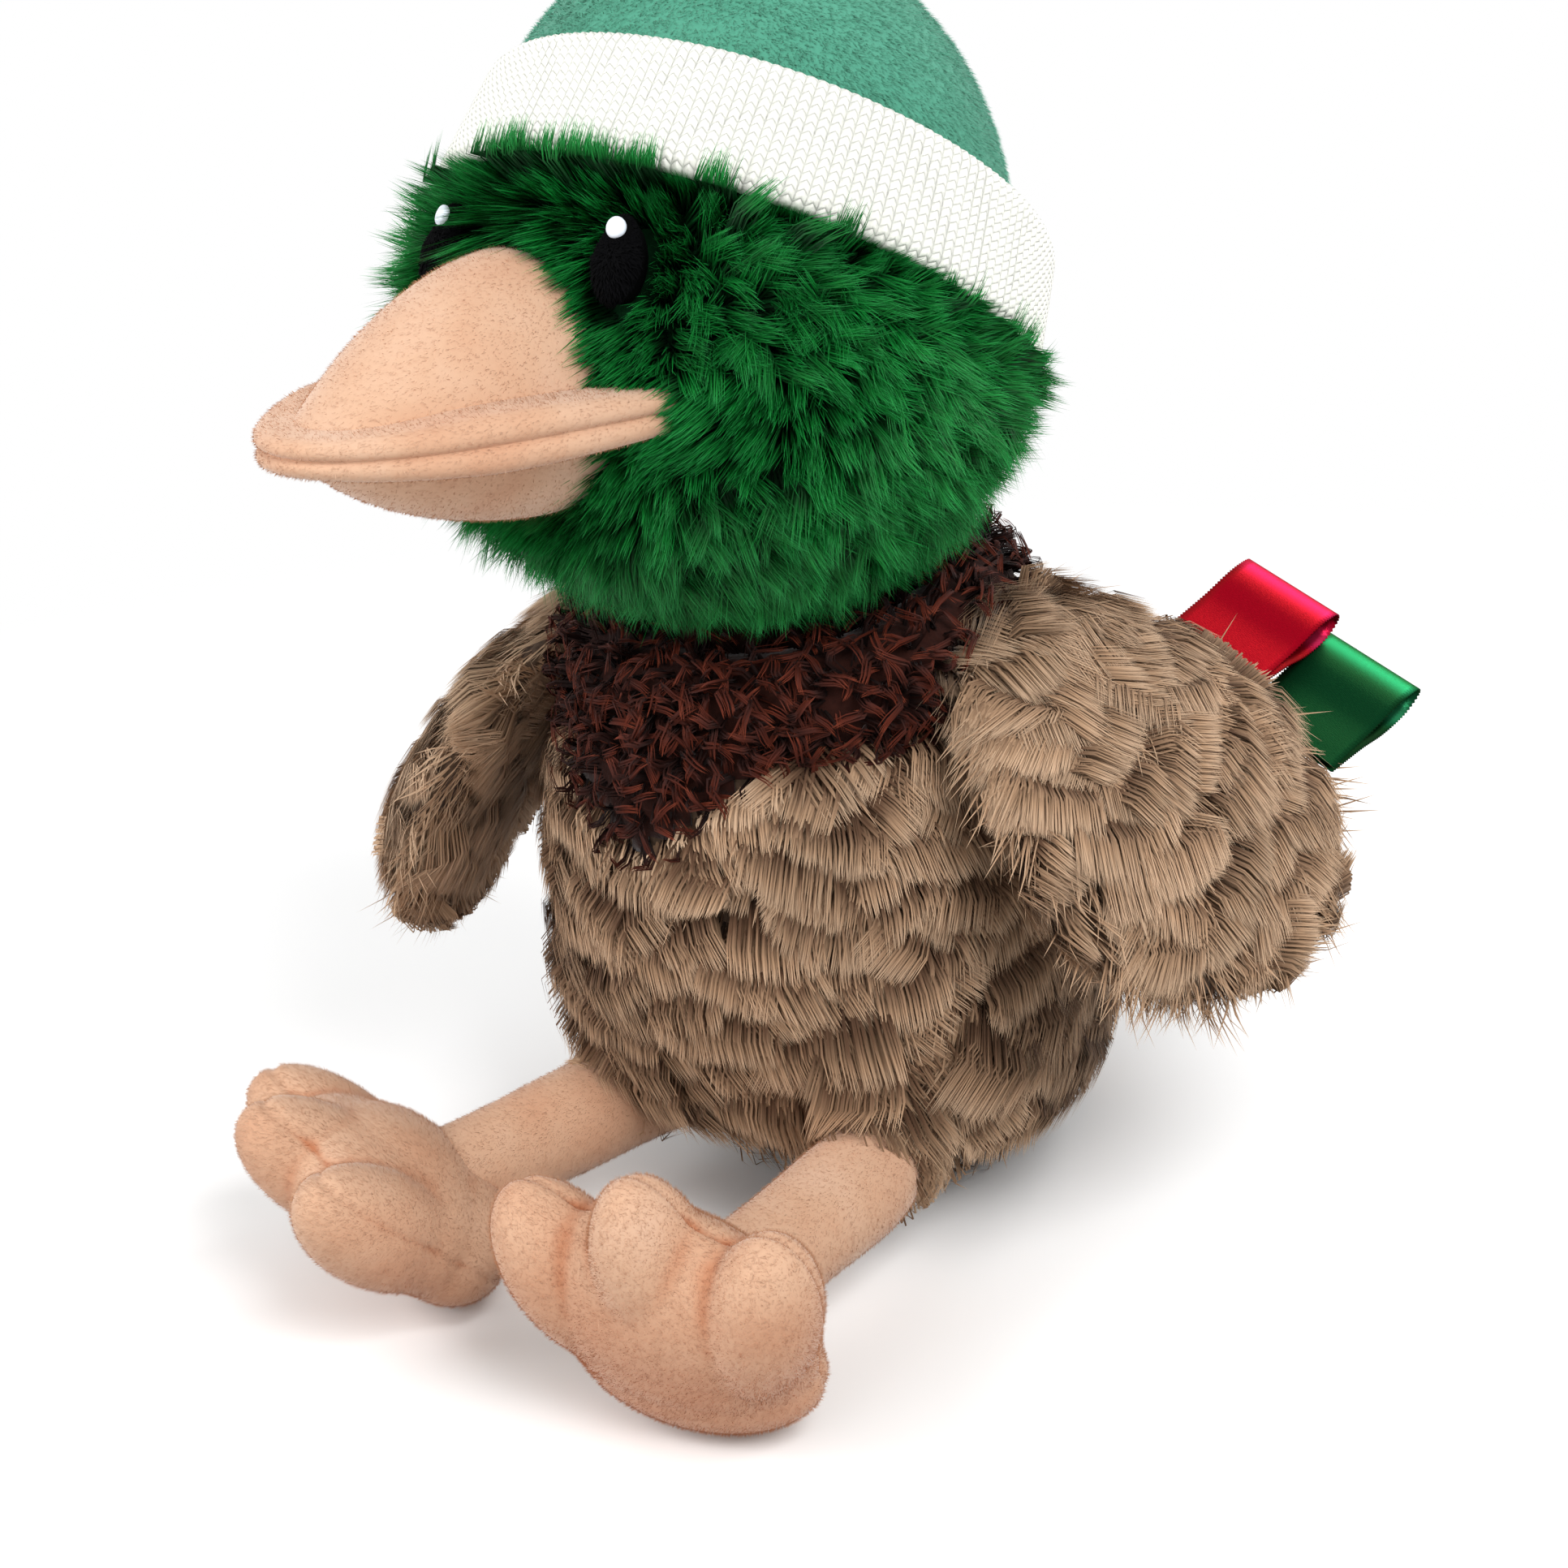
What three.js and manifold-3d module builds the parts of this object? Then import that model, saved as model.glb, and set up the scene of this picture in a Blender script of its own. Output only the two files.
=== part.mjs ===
// Plush duck sitting on a table: sewn covers over stuffing, a knitted hat, two ribbon loops.
// Units are millimetres, +Z is up, the duck faces -Y and its left side is +X.
// The origin is the centre of the seat, on the surface that the duck sits on. The places below
// are measured from the neck's line, and the whole duck is moved to the origin at the end.
import * as THREE from 'three';
import { mergeVertices } from 'three/addons/utils/BufferGeometryUtils.js';
import Module from 'manifold-3d';

const wasm = await Module();
wasm.setup();

// Gaps
const seamGap = 0.3; // between pieces sewn to each other
const swingGap = 0.6; // round a root that swings in its neighbour
const wingGap = 2.8; // round a wing as it flaps, at the corners of its facets

// Fabric
const coverThickness = 3; // backing cloth with its pile pressed flat
const hatThickness = 2;

// Torso: a pear on a flat seat, its neck leaning forward
const torsoHeight = 116;
const torsoSide = 53.5; // half width at the widest
const torsoFront = 48; // belly, forward of the torso's middle
const torsoBack = 71; // rump, behind its middle
const torsoMiddle = 11; // where its middle is, behind the neck's line
const neckLean = 21; // how far the neck is forward of the torso's middle
const leanBend = 1.6; // power of the height by which it leans
const neckRounding = 3; // power of the height by which the section becomes round
const seatBack = 12; // how far the seat is behind the torso's middle
const seatBend = 0.45; // the share of the height over which it is
const seatRadius = 27;
const seatMiddle = torsoMiddle + seatBack;
const seatRim = 3; // width of the body's cloth round the base panel
const torsoProfile = [
  [0.74, 0.086],
  [0.88, 0.172],
  [0.965, 0.28],
  [1.0, 0.4],
  [0.985, 0.54],
  [0.925, 0.7],
  [0.83, 0.82],
  [0.7, 0.91],
  [0.56, 0.98],
]; // half width and height, as shares of the widest and of the torso's height

// Pellet pouch in the seat
const pouchRadius = 25;
const pouchHeight = 17;

// Collar: a curly bib round the neck that ends in a V on the chest
const bibDrop = { tip: 34, edge: 12 }; // below the torso's top
const bibTip = [-6, torsoHeight - bibDrop.tip]; // x and z of the V's point
const bibSlope = 0.72; // rise of the V's edges
const bibEdge = torsoHeight - bibDrop.edge; // height of the bib's edge at the sides and back
const ruffRadius = 31;
const ruffThickness = 14.5; // radius of the roll
const ruffDrop = 4; // the roll's middle is below the torso's top
const ruffCentre = [0, 1, torsoHeight - ruffDrop];
const ruffTilt = 13; // degrees, higher at the back

// Neck
const neckCentre = [0, -10];
const neckRadius = 19;
const neckBall = 21;
const neckSink = 18; // how deep in the torso the neck's stuffing starts
const neckFoot = torsoHeight - neckSink;
const neckReach = 27; // from the torso's top to the middle of the neck's ball
const nodHeight = torsoHeight + neckReach; // the head nods and turns about this height
const nodRange = 12; // degrees each way
const turnRange = 20; // degrees each way from straight ahead
const headTurn = -7; // degrees, how far the head is turned at rest

// Head
const headRise = 25.5; // of the head's middle, above the neck's ball
const headCentre = [0, -14.5, nodHeight + headRise];
const headSide = 56;
const headDepth = 53.5;
const headHeight = 48.5;

// Bill: it points along -Y
const billSink = 12; // how far inside the head's front its form starts
const billRoot = headCentre[1] - headDepth + billSink;
const billLength = 57;
const billDroop = 2.5; // how far the tip hangs below the mouth's corners
const lipRise = 2; // above the head's middle
const lipHeight = headCentre[2] + lipRise;
const lipThickness = 9.6;
const lipHalfWidth = 30;
const upperBillHalfWidth = 23;
const upperBillRise = 20.5;
const lowerBillDrop = 21;
const billInset = 3; // the upper and lower bill stop this far behind the lip's edge
const billTaper = { outline: 0.62, upper: 1.3, lower: 0.75, lip: 0.5 }; // powers, low is blunt

// Eyes: ovals stitched on the face
const eyeAside = 19.3; // from the head's middle
const eyeRise = 21.5; // above it
const eyeProud = 1.03; // how far the middle stands out of the head's surface
const eyeDepth = headDepth * Math.sqrt(1 - (eyeAside / headSide) ** 2 - (eyeRise / headHeight) ** 2);
const eyePlace = [eyeAside, headCentre[1] - eyeDepth - eyeProud, headCentre[2] + eyeRise];
const eyeHalfWidth = 4.8;
const eyeHalfHeight = 8.8;
const eyeBulge = 2.6;
const glintRadius = 2.1;
const glintRise = 3.9;

// Hat
const hatTilt = -34; // degrees, the front edge is higher
const cuffRise = 7; // of its lower edge's middle, above the head's
const cuffCentre = [0, -11.5, headCentre[2] + cuffRise];
const cuffHeight = 22;
const cuffInset = { low: [1, 1], top: [5, 3.5] }; // to the side and in depth, from the head's size
const cuffLowSide = headSide - cuffInset.low[0];
const cuffLowDepth = headDepth - cuffInset.low[1];
const cuffTopSide = headSide - cuffInset.top[0];
const cuffTopDepth = headDepth - cuffInset.top[1];
const cuffFold = 2.5; // rounding of the turned-up edges
const domeLift = 14.5; // of its middle, above the head's
const domeCentre = [0, -8.5, headCentre[2] + domeLift];
const domeInset = [9.5, 8.5]; // to the side and in depth, from the head's size
const domeSide = headSide - domeInset[0];
const domeDepth = headDepth - domeInset[1];
const domeRise = 52;
const hatTuck = 4; // how far above the cuff's lower edge the dome starts

// Wings
const shoulderDrop = 2; // below the torso's top
const shoulder = [39, 2, torsoHeight - shoulderDrop];
const wingTurn = 13; // degrees, the rear edge stands out further than the front one
const wingFlare = { left: 39, right: 33 }; // degrees from hanging straight down
const wingSwing = { left: 4, right: -20 }; // degrees that the tip hangs to the rear
const wingFlap = [27, 58, 90]; // flares from the lowest to the highest
const wingOuterHalf = 12; // thickness outside its middle surface
const wingInnerHalf = 6.5; // and inside it
const wingArch = 5; // the wing bows outward by this
const wingRootRadius = 4;
const wingRootHalf = 17;
const wingRootShift = -1; // the root's middle is forward of the shoulder
const wingMiddle = [9, 37]; // rearward and downward from the shoulder
const wingOutline = [
  [-13, -1],
  [-23, 16],
  [-28, 34],
  [-28, 54],
  [-16, 71],
  [7, 79],
  [33, 80],
  [50, 60],
  [50, 33],
  [41, 13],
  [26, -2],
  [6, -5],
]; // rearward and downward from the shoulder
const wingLength = Math.max(...wingOutline.map(([, down]) => down));

// Ribbon loops on the rear edge of the left wing
const ribbonWidth = 20;
const ribbonThickness = 0.7;
const ribbonRootHalf = 0.9; // half thickness where the two ends are sewn in
const ribbonSewn = 1; // length of the two ends that lie on each other
const ribbonHalfOpen = 3.6; // half the height of the fold
const ribbonSwell = [[0.35, 0.55], [0.72, 1], [0.97, 0.72]]; // opening at shares of the length
const ribbonRise = 6; // degrees that the loops point up from straight back
const ribbonGap = 0.5; // between the two loops
const redLength = 26;
const greenLength = 30;
const redPlace = 27; // distance of the red loop's middle along the edge, downward

// Legs and feet
const hip = { left: [30, -31, 21], right: [-28, -21, 21] };
const legReach = 49;
const legSplay = { left: -3, right: 15 }; // degrees outward
const hipRadius = 10;
const ankleRadius = 9;
const limbRoom = 3; // how far along a limb its swing room runs, in radii of the limb
const legSwing = { down: -60, up: 28 }; // degrees, higher and a foot meets its wing
const ankleSwing = 20; // degrees each way
const footTurn = { left: 3, right: 37 }; // degrees outward
const footLean = { left: 21, right: 45 }; // degrees that the toes lean forward
const anklePlace = [4, 18]; // behind the sole's middle, and above the floor
const heelRadius = 13;
const heelSide = 24;
const palmCentre = [-1, 32];
const palmRadii = [24, 12.5, 21];
const toeRadius = 9;
const toeLength = 14; // half length
const middleToe = [-3, 42];
const sideToe = [19.5, -2, 35.5];
const toeSpread = 20; // degrees between a side toe and the middle one
const soleSplit = -1; // the sole panel lies in front of this plane

const colours = {
  taupe: 0x967d69,
  taupeDark: 0x86705d,
  brown: 0x4b2319,
  green: 0x0f6e2d,
  peach: 0xebc3a5,
  teal: 0x509b82,
  cream: 0xebebe4,
  red: 0xbe0028,
  ribbonGreen: 0x0f4b28,
  black: 0x0a0a0a,
  white: 0xf5f5f5,
  stuffing: 0xf2f0ea,
  pellets: 0xc9c4b8,
};

// Facets round and along a form: large ones that show, those inside, and small ones
const shown = [24, 11];
const hidden = [14, 6];
const small = [12, 6];
const dot = [8, 6];
const neckColumns = 20;
const wingFacets = [22, 8];

const degrees = Math.PI / 180;
const beyond = 200; // further than any side of the duck
const tiny = 1e-6; // stands for nothing in a division
const rimSteps = 240; // points on the wing's rim where the ribbons' place is measured

function toSolid(geometry) {
  const bare = geometry.clone();
  bare.deleteAttribute('normal');
  bare.deleteAttribute('uv');
  const merged = mergeVertices(bare, 1e-4);
  return new wasm.Manifold(new wasm.Mesh({
    numProp: 3,
    vertProperties: merged.attributes.position.array,
    triVerts: merged.index.array,
  }));
}

function toGeometry(solid) {
  const mesh = solid.getMesh();
  const geometry = new THREE.BufferGeometry();
  const places = Float32Array.from(mesh.vertProperties);
  geometry.setAttribute('position', new THREE.BufferAttribute(places, 3));
  geometry.setIndex(new THREE.BufferAttribute(Uint32Array.from(mesh.triVerts), 1));
  geometry.computeVertexNormals();
  return geometry;
}

// Moves every vertex of a geometry: change takes [x, y, z] and returns the new place.
function reshape(geometry, change) {
  const places = geometry.attributes.position;
  for (let i = 0; i < places.count; i += 1) {
    const [x, y, z] = change([places.getX(i), places.getY(i), places.getZ(i)]);
    places.setXYZ(i, x, y, z);
  }
  return geometry;
}

function turned(solid, axis, angle, pivot) {
  const line = new THREE.Vector3(...axis).normalize();
  const matrix = new THREE.Matrix4().makeTranslation(...pivot)
    .multiply(new THREE.Matrix4().makeRotationAxis(line, angle * degrees))
    .multiply(new THREE.Matrix4().makeTranslation(...pivot.map((value) => -value)));
  return solid.transform(matrix.elements);
}

function unitSphere(columns, rows) {
  return new THREE.SphereGeometry(1, columns, rows).rotateX(Math.PI / 2);
}

function ellipsoid(centre, radii, facets = shown) {
  return toSolid(unitSphere(...facets).scale(...radii).translate(...centre));
}

// The space above (or below) a tilted plane through a point
function halfSpace(point, tilt, side) {
  const box = new THREE.BoxGeometry(2 * beyond, 2 * beyond, 2 * beyond);
  box.translate(0, 0, side * beyond).rotateX(tilt * degrees).translate(...point);
  return toSolid(box);
}

// The largest of a solid's separate bodies
function largest(solid) {
  const bodies = solid.decompose();
  return bodies.reduce((best, body) => (body.volume() > best.volume() ? body : best));
}

// A solid of revolution round a vertical axis; the profile starts and ends on the axis.
function turnedProfile(points, axis) {
  const lathe = new THREE.LatheGeometry(points.map(([r, z]) => new THREE.Vector2(r, z)), neckColumns);
  return toSolid(lathe.rotateX(Math.PI / 2).translate(axis[0], axis[1], 0));
}

// A stuffed flat shape: a closed outline round a middle, both in the YZ plane as [y, z] points,
// that swells to front and rear thicknesses (along +X and -X) in the middle
function pillow(outline, middle, [front, rear], [columns, rows]) {
  const rim = new THREE.CatmullRomCurve3(outline.map(([y, z]) => new THREE.Vector3(0, y, z)), true);
  const ball = new THREE.SphereGeometry(1, columns, rows).rotateZ(Math.PI / 2);
  return reshape(ball, ([x, y, z]) => {
    const out = Math.hypot(y, z);
    const share = (Math.atan2(z, y) / (2 * Math.PI) + 1) % 1;
    const edge = rim.getPoint(share);
    return [
      x * (x > 0 ? front : rear),
      THREE.MathUtils.lerp(middle[0], edge.y, out),
      THREE.MathUtils.lerp(middle[1], edge.z, out),
    ];
  });
}

const group = new THREE.Group();

function addPiece(parent, name, solid, colour, roughness) {
  const material = new THREE.MeshStandardMaterial({ color: colour, roughness, metalness: 0 });
  const mesh = new THREE.Mesh(toGeometry(solid), material);
  mesh.name = name;
  parent.add(mesh);
}

// Torso form, drawn in by inset on every side
function torsoForm(inset, facets) {
  const outline = torsoProfile.map(([r, z]) => new THREE.Vector2(r, z));
  const smooth = new THREE.SplineCurve([new THREE.Vector2(seatRadius / torsoSide, 0), ...outline]);
  const rings = facets[1];
  const points = smooth.getPoints(rings);
  const closed = [new THREE.Vector2(0, 0), ...points, new THREE.Vector2(0, points[rings].y)];
  const height = torsoHeight - 2 * inset;
  const lathe = new THREE.LatheGeometry(closed, facets[0]).rotateX(Math.PI / 2);
  return toSolid(reshape(lathe, ([x, y, z]) => {
    const up = Math.max(0, z);
    const depth = y < 0 ? torsoFront : torsoBack;
    const evened = THREE.MathUtils.lerp(depth, torsoSide, up ** neckRounding);
    const sat = seatBack * Math.max(0, 1 - up / seatBend) ** 2;
    return [
      x * (torsoSide - inset),
      y * (evened - inset) + torsoMiddle + sat - neckLean * up ** leanBend,
      inset + up * height,
    ];
  }));
}

// The space that the head needs as it nods and turns, with its gap
function headSweep() {
  const nod = Math.sin(nodRange * degrees);
  const turn = Math.sin((turnRange + Math.abs(headTurn)) * degrees);
  const forward = Math.abs(headCentre[1] - neckCentre[1]);
  const slide = (headCentre[2] - nodHeight) * nod;
  const sway = forward * turn + (headSide - headDepth) * turn;
  const drop = forward * nod + (headSide - headHeight) * nod;
  const reach = [headSide + sway, headDepth + slide, headHeight + drop];
  // The facets lie inside the true round, so the room is taken to their corners
  const corner = 1 / Math.cos(Math.PI / shown[0]);
  return ellipsoid(headCentre, reach.map((radius) => radius * corner + swingGap));
}

// Profile of the neck's ball from where it meets the radius of its shank up to its top.
// Below the ball's middle it is at least as wide as a shank that spreads by the given slope.
function ballProfile(shank, ball, spread = 0) {
  const points = [];
  const steps = 10;
  const start = Math.acos(Math.min(1, shank / ball));
  for (let i = 0; i < steps; i += 1) {
    const angle = THREE.MathUtils.lerp(-start, Math.PI / 2, i / steps);
    const rise = ball * Math.sin(angle);
    const cone = rise < 0 ? shank - rise * spread : 0;
    points.push([Math.max(cone, ball * Math.cos(angle)), nodHeight + rise]);
  }
  points.push([0, nodHeight + ball]);
  return points;
}

// The neck: a shank that stands in the torso, and a ball inside the head
function neckPlug(grow) {
  const foot = neckFoot - grow;
  const shank = neckRadius + grow;
  return turnedProfile([[0, foot], [shank, foot], ...ballProfile(shank, neckBall + grow)], neckCentre);
}

// The opening in the head round the neck: its foot is wide enough for the nod
function neckOpening() {
  const spread = Math.tan(nodRange * degrees);
  const shank = neckRadius / Math.cos(nodRange * degrees) + swingGap;
  const foot = shank + (nodHeight - neckFoot) * spread;
  return turnedProfile(
    [[0, neckFoot], [foot, neckFoot], ...ballProfile(shank, neckBall + swingGap, spread)],
    neckCentre,
  );
}

function headForm(inset, facets) {
  const normal = [0, -Math.sin(hatTilt * degrees), Math.cos(hatTilt * degrees)];
  const edge = cuffCentre.map((value, i) => value - normal[i] * (seamGap + inset));
  const radii = [headSide - inset, headDepth - inset, headHeight - inset];
  const pile = ellipsoid(headCentre, radii, facets);
  const under = hatThickness + seamGap + inset;
  const crown = ellipsoid(domeCentre, [domeSide - under, domeDepth - under, domeRise - under], facets);
  return pile.intersect(halfSpace(edge, hatTilt, -1)).add(crown);
}

// A leg along +Y from its hip, with round ends
function legForm() {
  const points = [];
  const steps = 5;
  for (let i = 0; i <= steps; i += 1) {
    const angle = -Math.PI / 2 * (1 - i / steps);
    const r = i === 0 ? 0 : hipRadius * Math.cos(angle);
    points.push(new THREE.Vector2(r, hipRadius * Math.sin(angle)));
  }
  for (let i = 0; i <= steps; i += 1) {
    const angle = Math.PI / 2 * i / steps;
    const r = i === steps ? 0 : ankleRadius * Math.cos(angle);
    points.push(new THREE.Vector2(r, legReach + ankleRadius * Math.sin(angle)));
  }
  return toSolid(new THREE.LatheGeometry(points, hidden[0]));
}

// Toes, palm and heel of a foot that stands upright with its sole facing -Y
function footForm() {
  const heel = ellipsoid([0, 0, heelRadius], [heelSide, heelRadius, heelRadius], hidden);
  const palm = ellipsoid([0, ...palmCentre], palmRadii, hidden);
  let foot = heel.add(palm).add(ellipsoid([0, ...middleToe], [toeRadius, toeRadius, toeLength], small));
  for (const side of [-1, 1]) {
    const toe = unitSphere(...small).scale(toeRadius, toeRadius, toeLength);
    toe.rotateY(side * toeSpread * degrees).translate(side * sideToe[0], sideToe[1], sideToe[2]);
    foot = foot.add(toSolid(toe));
  }
  return foot;
}

// Where a leg ends, and how leg and foot are turned, for the left (1) or right (-1) side
function legFrame(side, name) {
  const splay = side * legSplay[name] * degrees;
  const lean = footLean[name] * degrees;
  const rise = (anklePlace[1] - heelRadius) * Math.cos(lean) + anklePlace[0] * Math.sin(lean);
  const root = new THREE.Vector3(...hip[name]);
  const drop = root.z - heelRadius - rise;
  const level = Math.sqrt(legReach ** 2 - drop ** 2);
  const end = new THREE.Vector3(Math.sin(splay) * level, -Math.cos(splay) * level, -drop).add(root);
  const along = end.clone().sub(root).normalize();
  const turn = new THREE.Quaternion().setFromUnitVectors(new THREE.Vector3(0, 1, 0), along);
  const axis = new THREE.Vector3(Math.cos(splay), Math.sin(splay), 0);
  return { root, end, turn, axis, lean };
}

const legs = { left: legFrame(1, 'left'), right: legFrame(-1, 'right') };

function placedLeg(frame) {
  const matrix = new THREE.Matrix4().compose(frame.root, frame.turn, new THREE.Vector3(1, 1, 1));
  return legForm().transform(matrix.elements);
}

// Where a limb swings: a ball round its pivot, and plain bars along it from one angle to another.
// The facets lie inside the true round, so the radius is taken to their corners.
function swingRoom(frame, pivot, radius, [from, to], axis, [least, most]) {
  const matrix = new THREE.Matrix4().compose(frame.root, frame.turn, new THREE.Vector3(1, 1, 1));
  const reach = radius / Math.cos(Math.PI / small[0]);
  const bar = new THREE.CylinderGeometry(reach, reach, to - from, small[0]);
  const limb = toSolid(bar.translate(0, (from + to) / 2, 0)).transform(matrix.elements);
  const steps = 3;
  let room = ellipsoid(pivot, Array(3).fill(reach), small);
  for (let i = 0; i <= steps; i += 1) {
    const angle = THREE.MathUtils.lerp(least, most, i / steps);
    room = room.add(turned(limb, axis, angle, pivot));
  }
  return room;
}

function hipRoom(frame) {
  const radius = hipRadius + swingGap;
  const span = [0, limbRoom * radius];
  const swing = [-legSwing.up, -legSwing.down];
  return swingRoom(frame, frame.root.toArray(), radius, span, frame.axis.toArray(), swing);
}

function footMatrix(frame, side, name) {
  const turn = new THREE.Quaternion().setFromEuler(
    new THREE.Euler(frame.lean, 0, side * footTurn[name] * degrees, 'ZYX'),
  );
  const shift = new THREE.Vector3(0, ...anklePlace).applyQuaternion(turn);
  return new THREE.Matrix4().compose(frame.end.clone().sub(shift), turn, new THREE.Vector3(1, 1, 1));
}

function wingRoot(grow) {
  const half = wingRootHalf + grow;
  const roll = new THREE.CapsuleGeometry(wingRootRadius + grow, 2 * half, 3, small[0]);
  return toSolid(roll.translate(0, wingRootShift, 0));
}

// How far the wing's middle surface stands out at a depth below the shoulder
function archAt(down) {
  const share = THREE.MathUtils.clamp(down / wingLength, 0, 1);
  return wingArch * Math.sin(Math.PI * share);
}

function wingForm(inset, facets) {
  const middle = [wingMiddle[0], -wingMiddle[1]];
  const outline = wingOutline.map(([back, down]) => {
    const out = Math.hypot(back - wingMiddle[0], down - wingMiddle[1]);
    const share = (out - inset) / out;
    return [
      THREE.MathUtils.lerp(middle[0], back, share),
      THREE.MathUtils.lerp(middle[1], -down, share),
    ];
  });
  const halves = [wingOuterHalf - inset, wingInnerHalf - inset];
  const form = pillow(outline, middle, halves, facets);
  return toSolid(reshape(form, ([x, y, z]) => [x + archAt(-z), y, z]));
}

// Place of a wing at the left (1) or right (-1) shoulder
function wingMatrix(side, flare) {
  const place = new THREE.Vector3(side * shoulder[0], shoulder[1], shoulder[2]);
  const turn = new THREE.Quaternion().setFromEuler(
    new THREE.Euler(0, -side * flare * degrees, -side * wingTurn * degrees, 'ZYX'),
  );
  return new THREE.Matrix4().compose(place, turn, new THREE.Vector3(1, 1, 1));
}

// A wing is drawn for the left side and mirrored for the right one
function onSide(solid, side) {
  return side > 0 ? solid : solid.mirror([1, 0, 0]);
}

// Swings the tip of a wing to the rear, about the shoulder
function swung(solid, name) {
  return turned(solid, [1, 0, 0], wingSwing[name], [0, 0, 0]);
}

// Groove for the root of a wing, and the room that the wing needs as it flaps
function wingSocket(side, name) {
  const wing = onSide(swung(wingForm(-wingGap, hidden), name), side);
  let room = wingRoot(swingGap).transform(wingMatrix(side, wingFlap[0]).elements);
  for (const flare of wingFlap) {
    room = room.add(wing.transform(wingMatrix(side, flare).elements));
  }
  return room;
}

// Everything that moves against the torso
const limbCuts = hipRoom(legs.left)
  .add(hipRoom(legs.right))
  .add(wingSocket(1, 'left'))
  .add(wingSocket(-1, 'right'));
const headSpace = headSweep();
const neckHole = neckPlug(seamGap);

// Bib zone: above the V on the chest, above the edge at the sides and back
function bibZone(gap) {
  const rise = (bibEdge - bibTip[1]) / bibSlope;
  const shape = new THREE.Shape([
    new THREE.Vector2(bibTip[0], bibTip[1] + gap),
    new THREE.Vector2(bibTip[0] + rise, bibEdge + gap),
    new THREE.Vector2(bibTip[0] + rise, beyond),
    new THREE.Vector2(bibTip[0] - rise, beyond),
    new THREE.Vector2(bibTip[0] - rise, bibEdge + gap),
  ]);
  const chest = new THREE.ExtrudeGeometry(shape, { depth: beyond, bevelEnabled: false });
  chest.rotateX(Math.PI / 2).translate(0, neckCentre[1], 0);
  return toSolid(chest).add(halfSpace([0, 0, bibEdge + gap], 0, 1));
}

function ruff(grow) {
  const ring = new THREE.TorusGeometry(ruffRadius, ruffThickness + grow, 10, shown[0]);
  return toSolid(ring.rotateX(ruffTilt * degrees).translate(...ruffCentre));
}

// A flat disc in the seat
function disc(radius, low, high) {
  return turnedProfile([[0, low], [radius, low], [radius, high], [0, high]], [0, seatMiddle]);
}

function buildTorso() {
  const outer = torsoForm(0, shown);
  const inner = torsoForm(coverThickness, hidden);
  const shell = outer.subtract(inner);
  const openingRadius = seatRadius - seatRim;
  const floorOpening = disc(openingRadius, -seamGap, coverThickness + seamGap);
  const body = shell
    .subtract(bibZone(0))
    .subtract(ruff(seamGap))
    .subtract(floorOpening)
    .subtract(limbCuts)
    .subtract(neckHole);
  addPiece(group, 'body_cover', body, colours.taupe, 0.95);

  const collar = shell.intersect(bibZone(seamGap))
    .add(ruff(0).subtract(inner))
    .subtract(headSpace)
    .subtract(neckHole)
    .subtract(limbCuts);
  addPiece(group, 'collar_bib', collar, colours.brown, 0.95);

  const panel = disc(openingRadius - seamGap, 0, coverThickness - seamGap);
  addPiece(group, 'base_panel', panel, colours.taupeDark, 0.95);

  const pouchCentre = [0, seatMiddle, coverThickness + pouchHeight / 2];
  const pouch = ellipsoid(pouchCentre, [pouchRadius, pouchRadius, pouchHeight / 2], hidden);
  const pouchRoom = ellipsoid(
    pouchCentre,
    [pouchRadius + seamGap, pouchRadius + seamGap, pouchHeight / 2 + seamGap],
    hidden,
  );
  addPiece(group, 'bean_pouch', pouch, colours.pellets, 0.8);

  const stuffing = torsoForm(coverThickness + seamGap, hidden)
    .subtract(pouchRoom)
    .subtract(limbCuts)
    .subtract(headSpace)
    .subtract(neckHole);
  addPiece(group, 'body_stuffing', stuffing, colours.stuffing, 1);

  addPiece(group, 'neck_stuffing', neckPlug(0), colours.stuffing, 1);
}

// Bill outline seen from above: half width at a share s of the length
function taper(s, power) {
  return (1 - Math.min(1, s) ** 2) ** power;
}

// The upper or lower half of the bill, as one closed form that is cut at the lip's height
function billForm(rise, tipPower) {
  const length = billLength - billInset;
  const ball = new THREE.SphereGeometry(1, 18, 12);
  return toSolid(reshape(ball, ([x, y, z]) => {
    const s = Math.max(0, -y);
    const round = Math.sqrt(Math.max(0, 1 - y * y));
    const across = round > tiny ? x / round : 0;
    const up = round > tiny ? z / round : 0;
    const wide = y > 0 ? round : taper(s, billTaper.outline);
    const high = y > 0 ? round : taper(s, tipPower);
    const level = lipHeight - billDroop * s * s;
    return [across * wide * upperBillHalfWidth, billRoot + y * length, level + up * high * rise];
  }));
}

function lipForm(grow) {
  const ball = unitSphere(28, 6);
  return toSolid(reshape(ball, ([x, y, z]) => {
    const out = Math.hypot(x, y);
    const s = out > tiny ? Math.max(0, -y / out) : 0;
    const cosine = out > tiny ? x / out : 0;
    const edge = s > 0 ? Math.sign(cosine) * taper(s, billTaper.lip) : cosine;
    const blunt = Math.sign(z) * Math.sqrt(Math.max(0, 1 - out ** 6));
    return [
      edge * out * (lipHalfWidth + grow),
      billRoot + y * (billLength + grow),
      lipHeight - billDroop * (s * out) ** 2 + blunt * (lipThickness / 2 + grow),
    ];
  }));
}

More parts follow.
